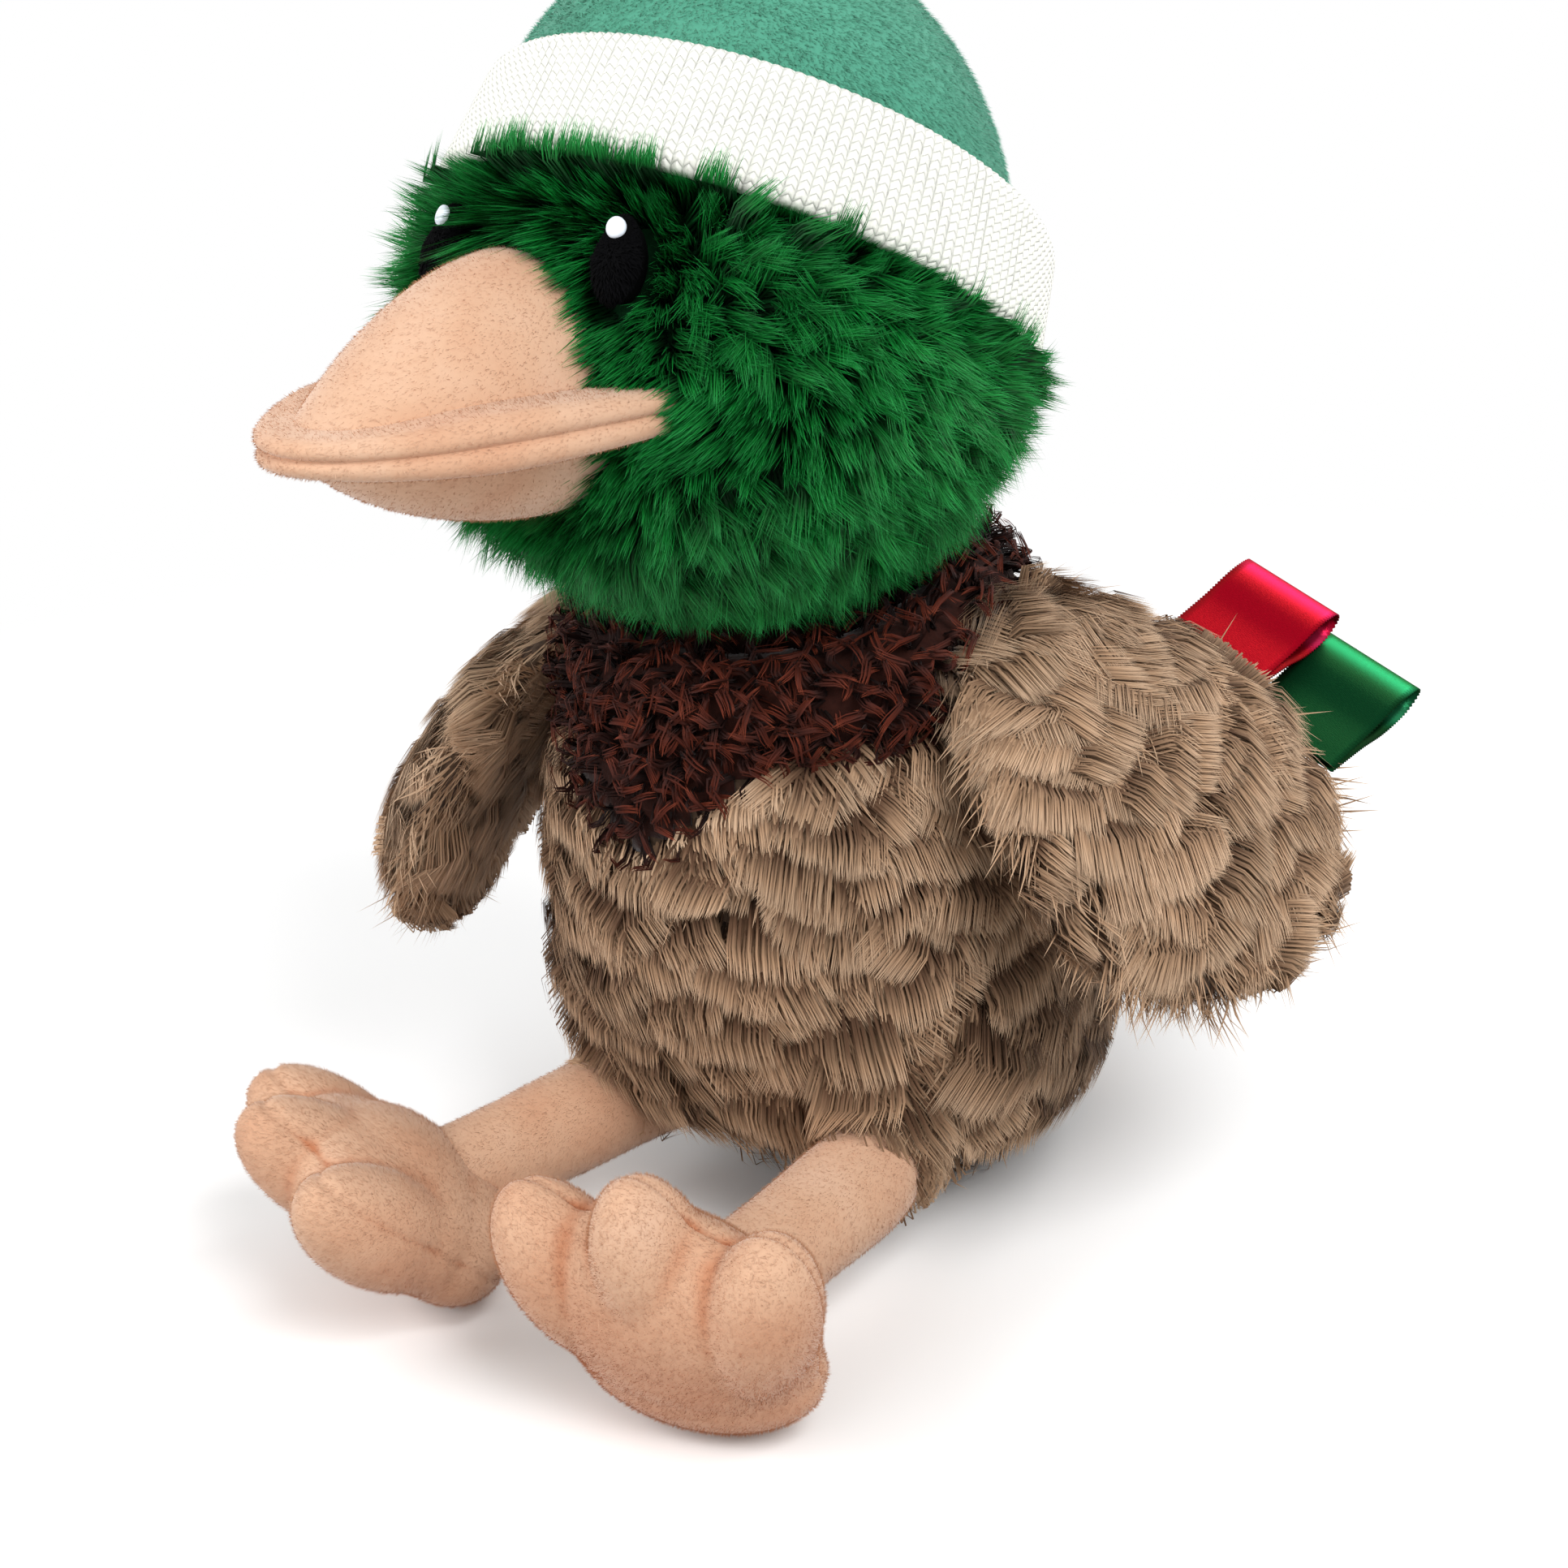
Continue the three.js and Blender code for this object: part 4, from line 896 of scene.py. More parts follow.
def growHead():
    rng = np.random.default_rng(head['seed'])
    pelt = Pelt(headSkin)
    eyes = [eyePlace(side) for side in (1, -1)]

    def byBill(places):
        local = inPlace(places, headPlace)
        wide, tall, level = head['billHole']
        oval = np.sqrt(((local[:, 0] + 3.5) / wide) ** 2 + ((local[:, 2] - level) / tall) ** 2)
        lip = np.maximum(np.abs(local[:, 0] + 1) / head['lipHole'][0],
                         np.abs(local[:, 2] - level + 4) / head['lipHole'][1])
        return np.where(local[:, 1] < -30, np.minimum(oval, lip), 9.0)

    def outsideCuff(paths, over):  # strands come out under the cuff's lower edge; some lie over it
        turn = np.array(hatPlace)
        local = np.stack([inPlace(paths[:, step], hatPlace) for step in range(3)], 1)
        high = (local[:, 2, 2] > -0.6) | (local[:, 1, 2] > -0.6)
        across = np.hypot(local[:, :, 0] / hat['lowRadii'][0], local[:, :, 1] / hat['lowRadii'][1])
        across = np.maximum(across, 0.5)
        out = high & over
        ragged = rng.uniform(0.5, 5.5, len(paths))
        for step, least, top in ((1, 1.03, -1.2), (2, 1.045, ragged)):
            grow = np.where(out, np.clip(least / across[:, step], 1, 1.3), 1)
            local[:, step, :2] *= grow[:, None]
            ceiling = np.where(out, top, -0.6)
            local[:, step, 2] = np.where(high, np.minimum(local[:, step, 2], ceiling), local[:, step, 2])
        return (local * mm) @ turn[:3, :3].T + turn[:3, 3]

    def around(places):  # how far from the eyes and the bill, in shares of their size
        nearest = np.full(len(places), 9.0)
        for place in eyes:
            local = inPlace(places, place)
            oval = np.sqrt((local[:, 0] / eye['halfWidth']) ** 2 + (local[:, 2] / eye['halfHeight']) ** 2)
            nearest = np.minimum(nearest, np.where(np.abs(local[:, 1]) < 20, oval, 9.0))
        return np.minimum(nearest, byBill(places) + 0.1)

    def bare(places, normals):
        return (inPlace(places, hatPlace)[:, 2] < 2.0) & (around(places) > 0.84)

    for part in ('first', 'second'):
        roots, normals = pelt.scatter(head['strands'], rng, bare)
        seeds, seedNormals = pelt.scatter(head['locks'], rng, bare)
        mine = nearestOf(seeds, roots)
        face = np.array((headPlace @ (Vector(head['face']) * mm)))
        away = unit(seeds - face) + [0, 0, -0.45] + rng.normal(0, 0.5, seeds.shape)
        brow = np.clip(1 + inPlace(seeds, hatPlace)[:, 2] / 9, 0, 1)[:, None]  # under the cuff's edge
        hatUp = np.array(hatPlace)[:3, 2]
        flow = alongSkin(away * (1 - brow) + hatUp * brow * 1.6, seedNormals)
        close = np.clip(2.1 - around(seeds), 0, 1)
        stand = head['stand'] + 34 * close + 12 * brow[:, 0] + rng.normal(0, 13, len(seeds))
        stand = np.radians(np.minimum(stand, 88))[:, None]
        way = unit(seedNormals * np.sin(stand) + flow * np.cos(stand))
        hug = np.clip((1.75 - byBill(seeds)) / 0.6, 0, 1)[:, None]
        way = unit(way * (1 - hug) + np.array(headPlace)[:3, 1] * -hug)
        length = head['length'] * rng.uniform(0.8, 1.15, len(seeds)) * (1 - 0.22 * close) * mm
        length = length * (1 + 0.4 * hug[:, 0])
        cheek = inPlace(seeds, headPlace)
        length = length * np.where((cheek[:, 0] < -16) & (cheek[:, 1] < -30), 1.25, 1)
        bridge = (np.abs(cheek[:, 0] + 11.5) < 5) & (cheek[:, 1] < -40) & (np.abs(cheek[:, 2] - 188) < 7)
        length = length * np.where(bridge, 1.45, 1)
        forelock = (np.abs(cheek[:, 0] - 4) < 13) & (cheek[:, 1] < -20) & ~bridge
        own = length[mine] * rng.uniform(0.75, 1.12, len(roots))
        droop = np.array([0, 0, -1.0])
        calm = 1 - np.clip(close + hug[:, 0] + brow[:, 0], 0, 1)
        curl = alongSkin(rng.normal(size=seeds.shape), seedNormals) * (length * 0.38 * calm)[:, None]
        stray = rng.normal(0, 0.7, roots.shape) * mm
        paths = []
        for share in (0, 0.5, 1.0):
            free = roots + way[mine] * own[:, None] * share
            tuft = seeds[mine] + way[mine] * own[:, None] * share
            pulled = free + (tuft - free) * (head['pull'] * share ** 1.3)
            fall = own * 0.16 * share ** 2 * (1 - brow[mine, 0])
            bent = alongSkin(np.tile(droop, (len(roots), 1)), normals) * fall[:, None]
            paths.append(pulled + bent - normals * (fall * 0.6)[:, None]
                         + curl[mine] * share ** 2.2 + stray * share)
        paths = outsideCuff(np.stack(paths, 1), (rng.random(len(seeds)) < np.where(forelock, 0.85, 0.1))[mine])
        widths = head['width'] * rng.uniform(0.7, 1.3, len(roots)) * mm
        tones = rng.normal(0.5, 0.14, len(roots)) + rng.normal(0, 0.16, len(seeds))[mine]
        # painted shade: strands low on the head are darkened, as if in shade under the head
        tones = np.clip(tones - 0.5 * np.clip((166 - inPlace(roots, headPlace)[:, 2]) / 40, 0, 1), 0, 1)
        pile = strands('head_pile_' + part, paths, widths, normals, tones, headMaterial, rng, roll=0.35)
        dressed(pile, 'head', 'green_pile')


headMaterial = pileMaterial('green pile', head['look'])
growHead()


# Bill: two stuffed halves and a fat lip with a seam round its middle
bill = {
    'root': -56, 'level': 170.5, 'droop': 2.0, 'length': 57,
    'upperWidth': 20.5, 'upperRise': 24.5, 'lowerWidth': 21, 'lowerDrop': 19.5, 'sunk': 9,
    'lower': 2.0, 'aside': -4.0, 'upperReach': 55.5, 'lowerReach': 52.5, 'cornerDrop': 2.4, 'tipRise': 1.2,
    'lipWidth': 29.5, 'lipThickness': 9.4, 'groove': 1.3, 'columns': 64,
    'taper': {'outline': 0.56, 'upper': 1.15, 'lower': 0.75},
    'stations': (0.06, 0.14, 0.25, 0.38, 0.5, 0.62, 0.73, 0.83, 0.91, 0.96, 0.985),
}
billPlace = headPlace @ shifted(0, bill['root'], bill['level'] - bill['lower'])
billTurn = billPlace @ turnedAbout('X', 90)


def lipLine(share):  # how far the seam lies below the bill's level, from its corners to its tip
    return bill['droop'] * share ** 2 + bill['cornerDrop'] * (1 - share) ** 1.5 - bill['tipRise'] * share ** 6


def billHalf(name, width, height, power, up):
    reach = bill['upperReach'] if up else bill['lowerReach']
    narrow = 0.66  # where it's sunk in the head
    rings = [(-bill['sunk'], bill['aside'], -bill['cornerDrop'], width * narrow, width * narrow,
              height * narrow if up else 4, 4 if up else height * narrow)]
    for share in bill['stations']:
        left = 1 - share ** 2
        across = width * left ** bill['taper']['outline']
        tall = height * left ** power
        hidden = 4 * left ** 0.5
        drop = -lipLine(share)
        rear, front = (tall, hidden) if up else (hidden, tall)
        rings.append((share * reach, bill['aside'] * (1 - share), drop, across, across, rear, front))
    piece = settle(loft(name, rings, 32), billTurn)
    finish(piece, 'SUBSURF', levels=2, render_levels=2)
    return smoothShaded(piece)


def buildLip():
    half = bill['lipThickness'] / 2
    rings = []
    sections = ((-1.0, 3.6), (-0.93, 1.8), (-0.74, 0.5), (-0.45, 0.0), (-0.2, 0.2), (-0.06, 0.9),
                (0.0, bill['groove']), (0.06, 0.9), (0.2, 0.2), (0.45, 0.0), (0.74, 0.5), (0.93, 1.8),
                (1.0, 3.6))
    for height, inset in sections:
        across, forward = bill['lipWidth'] - inset, bill['length'] - inset
        rings.append((height * half, 0, 0, across, across, 7 - inset * 0.5, forward))
    piece = loft('bill_lip_cloth', rings, bill['columns'])
    finish(piece, 'SUBSURF', levels=2, render_levels=2)
    for vertex in piece.data.vertices:  # the tip droops and thins towards the corners
        share = max(0, -vertex.co.y / (bill['length'] * mm))
        vertex.co.z *= 0.8 + 0.2 * min(1, share * 2.2) - 0.36 * max(0, share - 0.6) / 0.4
        vertex.co.z -= lipLine(min(share, 1)) * mm
        vertex.co.x += bill['aside'] * 0.5 * (1 - share) * mm
    settle(piece, billPlace)
    return smoothShaded(piece)


peach = {
    'sheen': 0.3, 'patchScale': 55, 'grain': 0.97,
    # the last colour is painted shade for creases
    'shade': (200, 154, 124), 'body': (206, 166, 137), 'light': (212, 176, 150), 'hollow': (182, 113, 75),
}
peachMaterial = velourMaterial('peach velour', peach)
upperBill = coat(billHalf('upper_bill_cloth', bill['upperWidth'], bill['upperRise'], bill['taper']['upper'],
                          True), peachMaterial)
lowerBill = coat(billHalf('lower_bill_cloth', bill['lowerWidth'], bill['lowerDrop'], bill['taper']['lower'],
                          False), peachMaterial)
billLip = coat(buildLip(), peachMaterial)
for piece, node in ((upperBill, 'upper_bill'), (lowerBill, 'lower_bill'), (billLip, 'bill_lip')):
    dressed(piece, 'head', 'peach_velour', node)
print('bill')


# Hair of the velour: short blades that lean one way, over cloth of the same colour
velourLook = {
    'roughness': 0.85, 'sheen': 0.1, 'specular': 0.1, 'dark': 0.95, 'light': 1.04,
    'patch': 0.95, 'patchScale': 60, 'stops': [(0.0, 'root'), (1.0, 'tip')],
    # the last colour is painted shade for creases
    'root': (204, 163, 133), 'tip': (214, 179, 153), 'hollow': (186, 118, 79),
}
peachHair = pileMaterial('peach hair', velourLook)


def markPaintedShade(piece, radius, strength, extra=None):  # painted shade: how sunk each place is, 0 to 1, which colours the creases darker; extra adds painted shade elsewhere
    mesh = piece.data
    places, normals = np.empty(len(mesh.vertices) * 3), np.empty(len(mesh.vertices) * 3)
    mesh.vertices.foreach_get('co', places)
    mesh.vertices.foreach_get('normal', normals)
    places, normals = places.reshape(-1, 3), normals.reshape(-1, 3)
    tree = KDTree(len(places))
    for number, place in enumerate(places.tolist()):
        tree.insert(place, number)
    tree.balance()
    sunk = np.zeros(len(places))
    for number, place in enumerate(places.tolist()):
        near = [hit[1] for hit in tree.find_range(place, radius * mm)]
        sunk[number] = ((places[near] - places[number]) @ normals[number]).mean()
    sunk = np.clip(sunk / (radius * mm) * strength, 0, 0.9)
    if extra is not None:
        sunk = np.maximum(sunk, extra(places))
    mesh.attributes.new('hollow', 'FLOAT', 'POINT').data.foreach_set('value', sunk.astype(np.float32))
    return sunk


def growVelour(name, skin, count, seed, length, width, lean, flow, material, body, slot, keep=None,
               painted_shade_mask=None):
    rng = np.random.default_rng(seed)
    pelt = Pelt(skin)
    roots, normals = pelt.scatter(count, rng, keep)
    way = alongSkin(np.tile(np.array(flow, float), (count, 1)) + rng.normal(0, 0.35, (count, 3)), normals)
    way = unit(normals + way * lean * rng.uniform(0.6, 1.4, (count, 1)))
    own = length * rng.uniform(0.6, 1.3, (count, 1)) * mm
    paths = aboveFloor(np.stack([roots - normals * 0.1 * mm, roots + way * own], 1))
    widths = width * rng.uniform(0.7, 1.3, count) * mm
    tones = np.clip(rng.normal(0.5, 0.2, count), 0, 1)
    sunk = None if painted_shade_mask is None else painted_shade_mask[nearestOf(pelt.places, roots)]
    pile = strands(name, paths, widths, normals, tones, material, rng, roll=0.3, hollow=sunk)
    return dressed(pile, body, slot)


for skin, count, seed in ((upperBill, 16000, 41), (lowerBill, 16000, 42), (billLip, 26000, 43)):
    growVelour(skin.name.replace('cloth', 'hair'), skin, count, seed, 0.85, 0.12, 1.9, (0.1, -1, 0.1),
               peachHair, 'head', 'peach_velour')


# Eyes: ovals of black pile with a stitched white dot
eyeLook = {
    'roughness': 0.9, 'sheen': 0.0, 'specular': 0.06, 'dark': 0.5, 'light': 1.3,
    'patch': 0.8, 'patchScale': 300, 'stops': [(0.0, 'root'), (1.0, 'tip')],
    'root': (1, 1, 2), 'tip': (7, 7, 9), 'strands': 3200, 'length': 2.1, 'seed': 51, 'pad': 0.8,
}
eyeMaterial = pileMaterial('black pile', eyeLook)
glintMaterial, glintTree, glintShader = newMaterial('white stitching', 0.45, 0.2, 0.4)
glintShader.inputs['Base Color'].default_value = paint(222, 230, 240)
glintLines = noise(glintTree, 900, 2.0, (1, 1, 0.15))
addBump(glintTree, glintShader, glintLines, 0.5, 0.3)


def buildEye(name, side):
    wide, tall, bulge = (eye[key] * eyeLook['pad'] for key in ('halfWidth', 'halfHeight', 'bulge'))
    wide *= 0.86
    turn = eyePlace(side) @ turnedAbout('X', 90)
    rings = [(-8, 0, 0, wide * 0.8, wide * 0.8, tall * 0.85, tall * 0.85)]
    for depth, share in ((-1.5, 0.97), (0, 0.95), (bulge * 0.35, 0.84), (bulge * 0.62, 0.6), (bulge * 0.75, 0.3)):
        rings.append((depth, 0, 0, wide * share, wide * share, tall * share, tall * share))
    pad = settle(loft(name + '_eye_pad', rings, 24), turn)
    finish(pad, 'SUBSURF', levels=1, render_levels=1)
    coat(smoothShaded(pad), eyeMaterial)
    dressed(pad, 'head', 'black_stitching', name + '_eye')
    radius = eye['glintRadius'] * 0.84
    rings = [(bulge * 0.4, 0, 0, radius, radius, radius, radius)]
    for depth, share in ((bulge * 0.8, 1.0), (bulge * 1.0, 0.86), (bulge * 1.1, 0.45)):
        rings.append((depth, 0, 0, radius * share, radius * share * 0.9, radius * share * 1.05, radius * share))
    glint = settle(loft(name + '_eye_dot', rings, 20), turn @ shifted(-0.4 * side, eye['glintRise'], 0))
    finish(glint, 'SUBSURF', levels=1, render_levels=1)
    coat(smoothShaded(glint), glintMaterial)
    dressed(glint, 'head', 'white_stitching', name + '_eye_glint')
    rng = np.random.default_rng(eyeLook['seed'] + side)
    pelt = Pelt(pad)
    place = eyePlace(side)
    dot = np.array([0, 0, eye['glintRise']])

    def shown(places, normals):
        local = inPlace(places, place)
        return (local[:, 1] < 1) & (np.hypot(local[:, 0], local[:, 2] - dot[2]) > radius + 0.15)

    roots, normals = pelt.scatter(eyeLook['strands'], rng, shown)
    local = inPlace(roots, place)
    out = np.stack([local[:, 0] / wide, 0 * local[:, 0], local[:, 2] / tall], 1)
    out += [0.1 * side, 0, -0.35] + rng.normal(0, 0.25, out.shape) * [1, 0, 1]
    out = out @ np.array(place)[:3, :3].T
    way = unit(normals * 0.7 + alongSkin(out, normals) * 1.0)
    length = eyeLook['length'] * rng.uniform(0.5, 1.1, (len(roots), 1)) * mm
    nearDot = np.clip((np.hypot(local[:, 0], local[:, 2] - dot[2]) - radius) / 3, 0.25, 1)[:, None]
    length = length * nearDot
    bend = roots + way * length * 0.55
    tip = bend + unit(alongSkin(out, normals) + normals * 0.15) * length * 0.45
    paths = np.stack([roots, bend, tip], 1)
    widths = 0.28 * rng.uniform(0.7, 1.3, len(roots)) * mm
    pile = strands(name + '_eye_pile', paths, widths, normals, np.clip(rng.normal(0.5, 0.2, len(roots)), 0, 1),
                   eyeMaterial, rng)
    dressed(pile, 'head', 'black_stitching')


for sideName in sides:
    buildEye(sideName, sides[sideName])
print('eyes')


# Hat: a velour dome and a turned-up ribbed cuff
knit = {
    'wales': 168, 'perWale': 6, 'rib': (-0.32, -0.12, 0.12, 0.2, 0.12, -0.12),
    'edges': ((3.2, -4.6), (0.9, -4.1), (0.0, -2.6), (0.5, -0.9), (2.2, 0.0)),
    'topEdge': ((19.8, 0.0), (21.5, -0.8), (22.0, -2.2), (21.4, -3.6), (18.5, -4.6)),
    'rows': 14, 'body': (236, 236, 228), 'shade': (196, 198, 190), 'course': 1.55,
}


def knitMaterial():
    material, tree, shader = newMaterial('cream knit', 0.9, 0.25, 0.15)
    coordinates = tree.nodes.new('ShaderNodeTexCoord')
    mapping = tree.nodes.new('ShaderNodeMapping')
    mapping.vector_type = 'TEXTURE'
    mapping.inputs['Location'].default_value = hatPlace.translation
    mapping.inputs['Rotation'].default_value = hatPlace.to_euler()
    link(tree, coordinates.outputs['Object'], mapping.inputs['Vector'])
    parts = tree.nodes.new('ShaderNodeSeparateXYZ')
    link(tree, mapping.outputs['Vector'], parts.inputs[0])

    def maths(kind, first, second=None):
        node = tree.nodes.new('ShaderNodeMath')
        node.operation = kind
        for socket, value in zip(node.inputs, (first, second)):
            if isinstance(value, (int, float)):
                socket.default_value = value
            elif value is not None:
                link(tree, value, socket)
        return node.outputs[0]

    x, y, z = parts.outputs
    around = maths('MULTIPLY', maths('ARCTAN2', y, x), knit['wales'] / (2 * math.pi))
    across = maths('FRACT', around)
    lean = maths('ABSOLUTE', maths('SUBTRACT', across, 0.5))
    course = maths('FRACT', maths('ADD', maths('MULTIPLY', z, 1000 / knit['course']),
                                  maths('MULTIPLY', lean, 0.9)))
    stitch = maths('SINE', maths('MULTIPLY', course, math.pi))
    rib = maths('SINE', maths('MULTIPLY', across, math.pi))
    height = maths('MULTIPLY', maths('POWER', stitch, 0.6), maths('POWER', rib, 0.5))
    fuzz = noise(tree, 1500, 3.0)
    height = maths('ADD', height, maths('MULTIPLY', fuzz, 0.45))
    # painted shade: the grooves between wales and between stitches are coloured darker
    colour = ramp(tree, [(0.15, paint(*knit['shade'])), (0.75, paint(*knit['body']))], height)
    link(tree, colour, shader.inputs['Base Color'])
    addBump(tree, shader, height, 0.8, 0.5)
    return material


def cuffRadius(height, out):
    share = height / hat['cuffHeight']
    wide = hat['lowRadii'][0] + (hat['topRadii'][0] - hat['lowRadii'][0]) * share
    deep = hat['lowRadii'][1] + (hat['topRadii'][1] - hat['lowRadii'][1]) * share
    return wide + out, deep + out


def buildCuff():
    first, last = knit['edges'][-1], knit['topEdge'][0]
    profile = list(knit['edges'])
    profile += [(height, 0.0) for height in np.linspace(first[0], last[0], knit['rows'])[1:-1]]
    profile += list(knit['topEdge'])
    rings = []
    for height, out in profile:
        wide, deep = cuffRadius(height, out)
        rings.append((height, 0, 0, wide, wide, deep, deep))
    columns = knit['wales'] * knit['perWale']
    piece = loft('hat_cuff_knit', rings, columns)
    for depth in sorted(set(knit['rib'])):
        wanted = [number for number, value in enumerate(knit['rib']) if value == depth]
        choose(piece)
        bpy.ops.object.mode_set(mode='EDIT')
        half = math.pi / columns

        def onWale(place):
            turn = math.atan2(place.y, place.x) / (2 * math.pi) * columns
            inside = 3.2 * mm - 1e-6 < place.z < (hat['cuffHeight'] - 3.4) * mm
            return math.hypot(place.x, place.y) > 0.02 and round(turn) % knit['perWale'] in wanted
        selectWhere(onWale)
        mesh = bmesh.from_edit_mesh(piece.data)
        for vertex in mesh.verts:
            if vertex.select:
                away = Vector((vertex.co.x, vertex.co.y, 0)).normalized()
                vertex.co += away * depth * mm
        bmesh.update_edit_mesh(piece.data)
        bpy.ops.object.mode_set(mode='OBJECT')
    settle(piece, hatPlace)
    coat(smoothShaded(piece), knitMaterial())
    dressed(piece, 'head', 'cream_knit', 'hat_cuff')
    return piece


buildCuff()
print('cuff')

teal = {
    'sheen': 0.2, 'patchScale': 38, 'grain': 0.9,
    # the last colour is painted shade for creases
    'shade': (70, 142, 117), 'body': (79, 153, 128), 'light': (90, 163, 138), 'hollow': (60, 128, 104),
}
tealMaterial = velourMaterial('teal velour', teal)
tealHair = pileMaterial('teal hair', {
    'roughness': 0.75, 'sheen': 0.15, 'specular': 0.12, 'dark': 0.9, 'light': 1.06, 'patch': 0.84,
    'patchScale': 34, 'stops': [(0.0, 'root'), (1.0, 'tip')], 'root': (60, 130, 106), 'tip': (104, 176, 150),
})


def buildDome():
    dome = ball('hat_dome_cloth', hat['domeCentre'], hat['domeRadii'], 72, 48)
    settle(dome, headPlace)
    choose(dome)
    bpy.ops.object.mode_set(mode='EDIT')
    bpy.ops.mesh.select_all(action='SELECT')
    cut = hatPlace @ shifted(0, 0, hat['tuck'])
    normal = (cut.to_3x3() @ Vector((0, 0, 1))).normalized()
    bpy.ops.mesh.bisect(plane_co=cut.translation, plane_no=normal, use_fill=True, clear_inner=True)
    bpy.ops.object.mode_set(mode='OBJECT')
    outward(dome)
    coat(smoothShaded(dome), tealMaterial)
    dressed(dome, 'head', 'teal_velour', 'hat_dome')

    def aboveCuff(places, normals):
        return inPlace(places, hatPlace)[:, 2] > hat['cuffHeight'] - 4

    growVelour('hat_dome_hair', dome, 62000, 61, 1.4, 0.16, 1.7, (0.3, 0.5, -1), tealHair, 'head',
               'teal_velour', aboveCuff)


buildDome()
print('hat')


# Wings
wing = {
    'outline': ((-4.5, 0, 17), (0, -14, 28), (8, -19, 36), (16, -23, 43), (26, -26, 47.5), (34, -28, 50),
                (45, -28.5, 51), (54, -28.5, 51), (62, -26, 49), (70, -20, 43), (76, -8, 36), (79.5, 8, 28)),
    'outer': 12, 'inner': 6.5, 'arch': 5, 'length': 80, 'middle': 37, 'half': 45, 'inset': 3.6,
    'seed': 71, 'strands': 42000, 'spacing': 7.0, 'tuft': 10.5, 'rowHeight': 8.5, 'reach': 1.6, 'lift': 4.8,
    'width': 0.4, 'scallop': 1.8, 'slant': 0.5, 'ragged': 0.5, 'turn': 0.45, 'loose': 0.06, 'stray': 0.15,
    # painted light: how much paler each wing's pile is coloured; the right wing is lifted most to make up for the
    # shade on it
    'roll': 0.15, 'curve': 0.9, 'paintedLightBySide': {'left': 0.12, 'right': 0.62},
}


def wingRings(side):
    inset = wing['inset']
    rings = []
    for down, front, rear in wing['outline']:
        near = wing['middle'] + (down - wing['middle']) * (1 - inset / wing['half'])
        swell = math.sqrt(max(0.04, 1 - ((down - wing['middle']) / wing['half']) ** 2))
        outer = max(1.2, (wing['outer'] - inset) * swell)
        inner = max(1.0, (wing['inner'] - inset * 0.6) * swell)
        bow = wing['arch'] * math.sin(math.pi * min(1, max(0, down / wing['length'])))
        middle, half = (front + rear) / 2, (rear - front) / 2 - inset
        right, left = (outer, inner) if side > 0 else (inner, outer)
        rings.append((-near, side * bow, middle, right, left, half, half))
    return rings


wingSkins = {}
for sideName in sides:
    skin = settle(loft(sideName + '_wing_cloth', wingRings(sides[sideName]), 28), wingPlace(sideName))
    finish(skin, 'SUBSURF', levels=2, render_levels=2)
    coat(smoothShaded(skin), torsoSkin.data.materials[0])
    dressed(skin, sideName + '_wing', 'taupe_pile', sideName + '_wing_outer', sideName + '_wing_inner',
            sideName + '_wing_stuffing')
    wingSkins[sideName] = skin


def spaced(pelt, rng, spacing, tries):  # random places on the cloth, none too close to another
    places, normals = pelt.scatter(tries, rng)
    kept = []
    for number, place in enumerate(places):
        if not kept or np.min(np.linalg.norm(places[kept] - place, axis=1)) > spacing * mm:
            kept.append(number)
    return places[kept], normals[kept]


def growWing(name):
    rng = np.random.default_rng(wing['seed'] + sides[name])
    pelt = Pelt(wingSkins[name])
    seeds, normals = spaced(pelt, rng, wing['spacing'], 5000)
    local = inPlace(seeds, wingPlace(name))
    rearward = np.clip((local[:, 1] + 20) / 60, 0, 1)
    flow = np.stack([0 * rearward, -0.6 + 1.7 * rearward, -0.9 + 0.35 * rearward], 1)
    flow = flow @ np.array(wingPlace(name))[:3, :3].T
    downs = alongSkin(flow, normals)
    turn = rng.normal(0, wing['turn'], (len(seeds), 1))
    downs = downs * np.cos(turn) + np.cross(normals, downs) * np.sin(turn)
    spec = dict(wing, pale=wing['paintedLightBySide'][name])
    spec['near'] = lambda places: 1 + 0.5 * np.clip(1 + inPlace(places, wingPlace(name))[:, 2] / 14, 0, 1)
    for part in ('first', 'second'):
        pile = shingles(name + '_wing_pile_' + part, pelt, seeds, normals, downs, spec, torsoPileMaterial, rng)
        dressed(pile, name + '_wing', 'taupe_pile')


for sideName in sides:
    growWing(sideName)
print('wings')


# Ribbons: satin strips folded into loops, with small loops of thread along both edges
ribbon = {
    'width': 20, 'thickness': 0.24, 'halfOpen': 3.6, 'rootHalf': 0.9, 'sewn': 4, 'rise': 6,
    'swell': ((0.3, 0.5), (0.58, 0.95), (0.78, 1.0), (0.93, 0.74)), 'step': 0.42, 'picot': 0.34,
    'columns': 14, 'twist': -25,
    'loops': {
        'red_ribbon_loop': {'root': (64.58, 24.85, 102.0), 'length': 26, 'body': 'red_ribbon',
                            'slot': 'red_satin', 'colour': (152, 0, 24), 'gleam': (255, 70, 130)},
        'green_ribbon_loop': {'root': (78.72, 25.86, 87.13), 'length': 30, 'body': 'green_ribbon',
                              'slot': 'green_satin', 'colour': (7, 52, 27), 'gleam': (70, 190, 130)},
    },
}


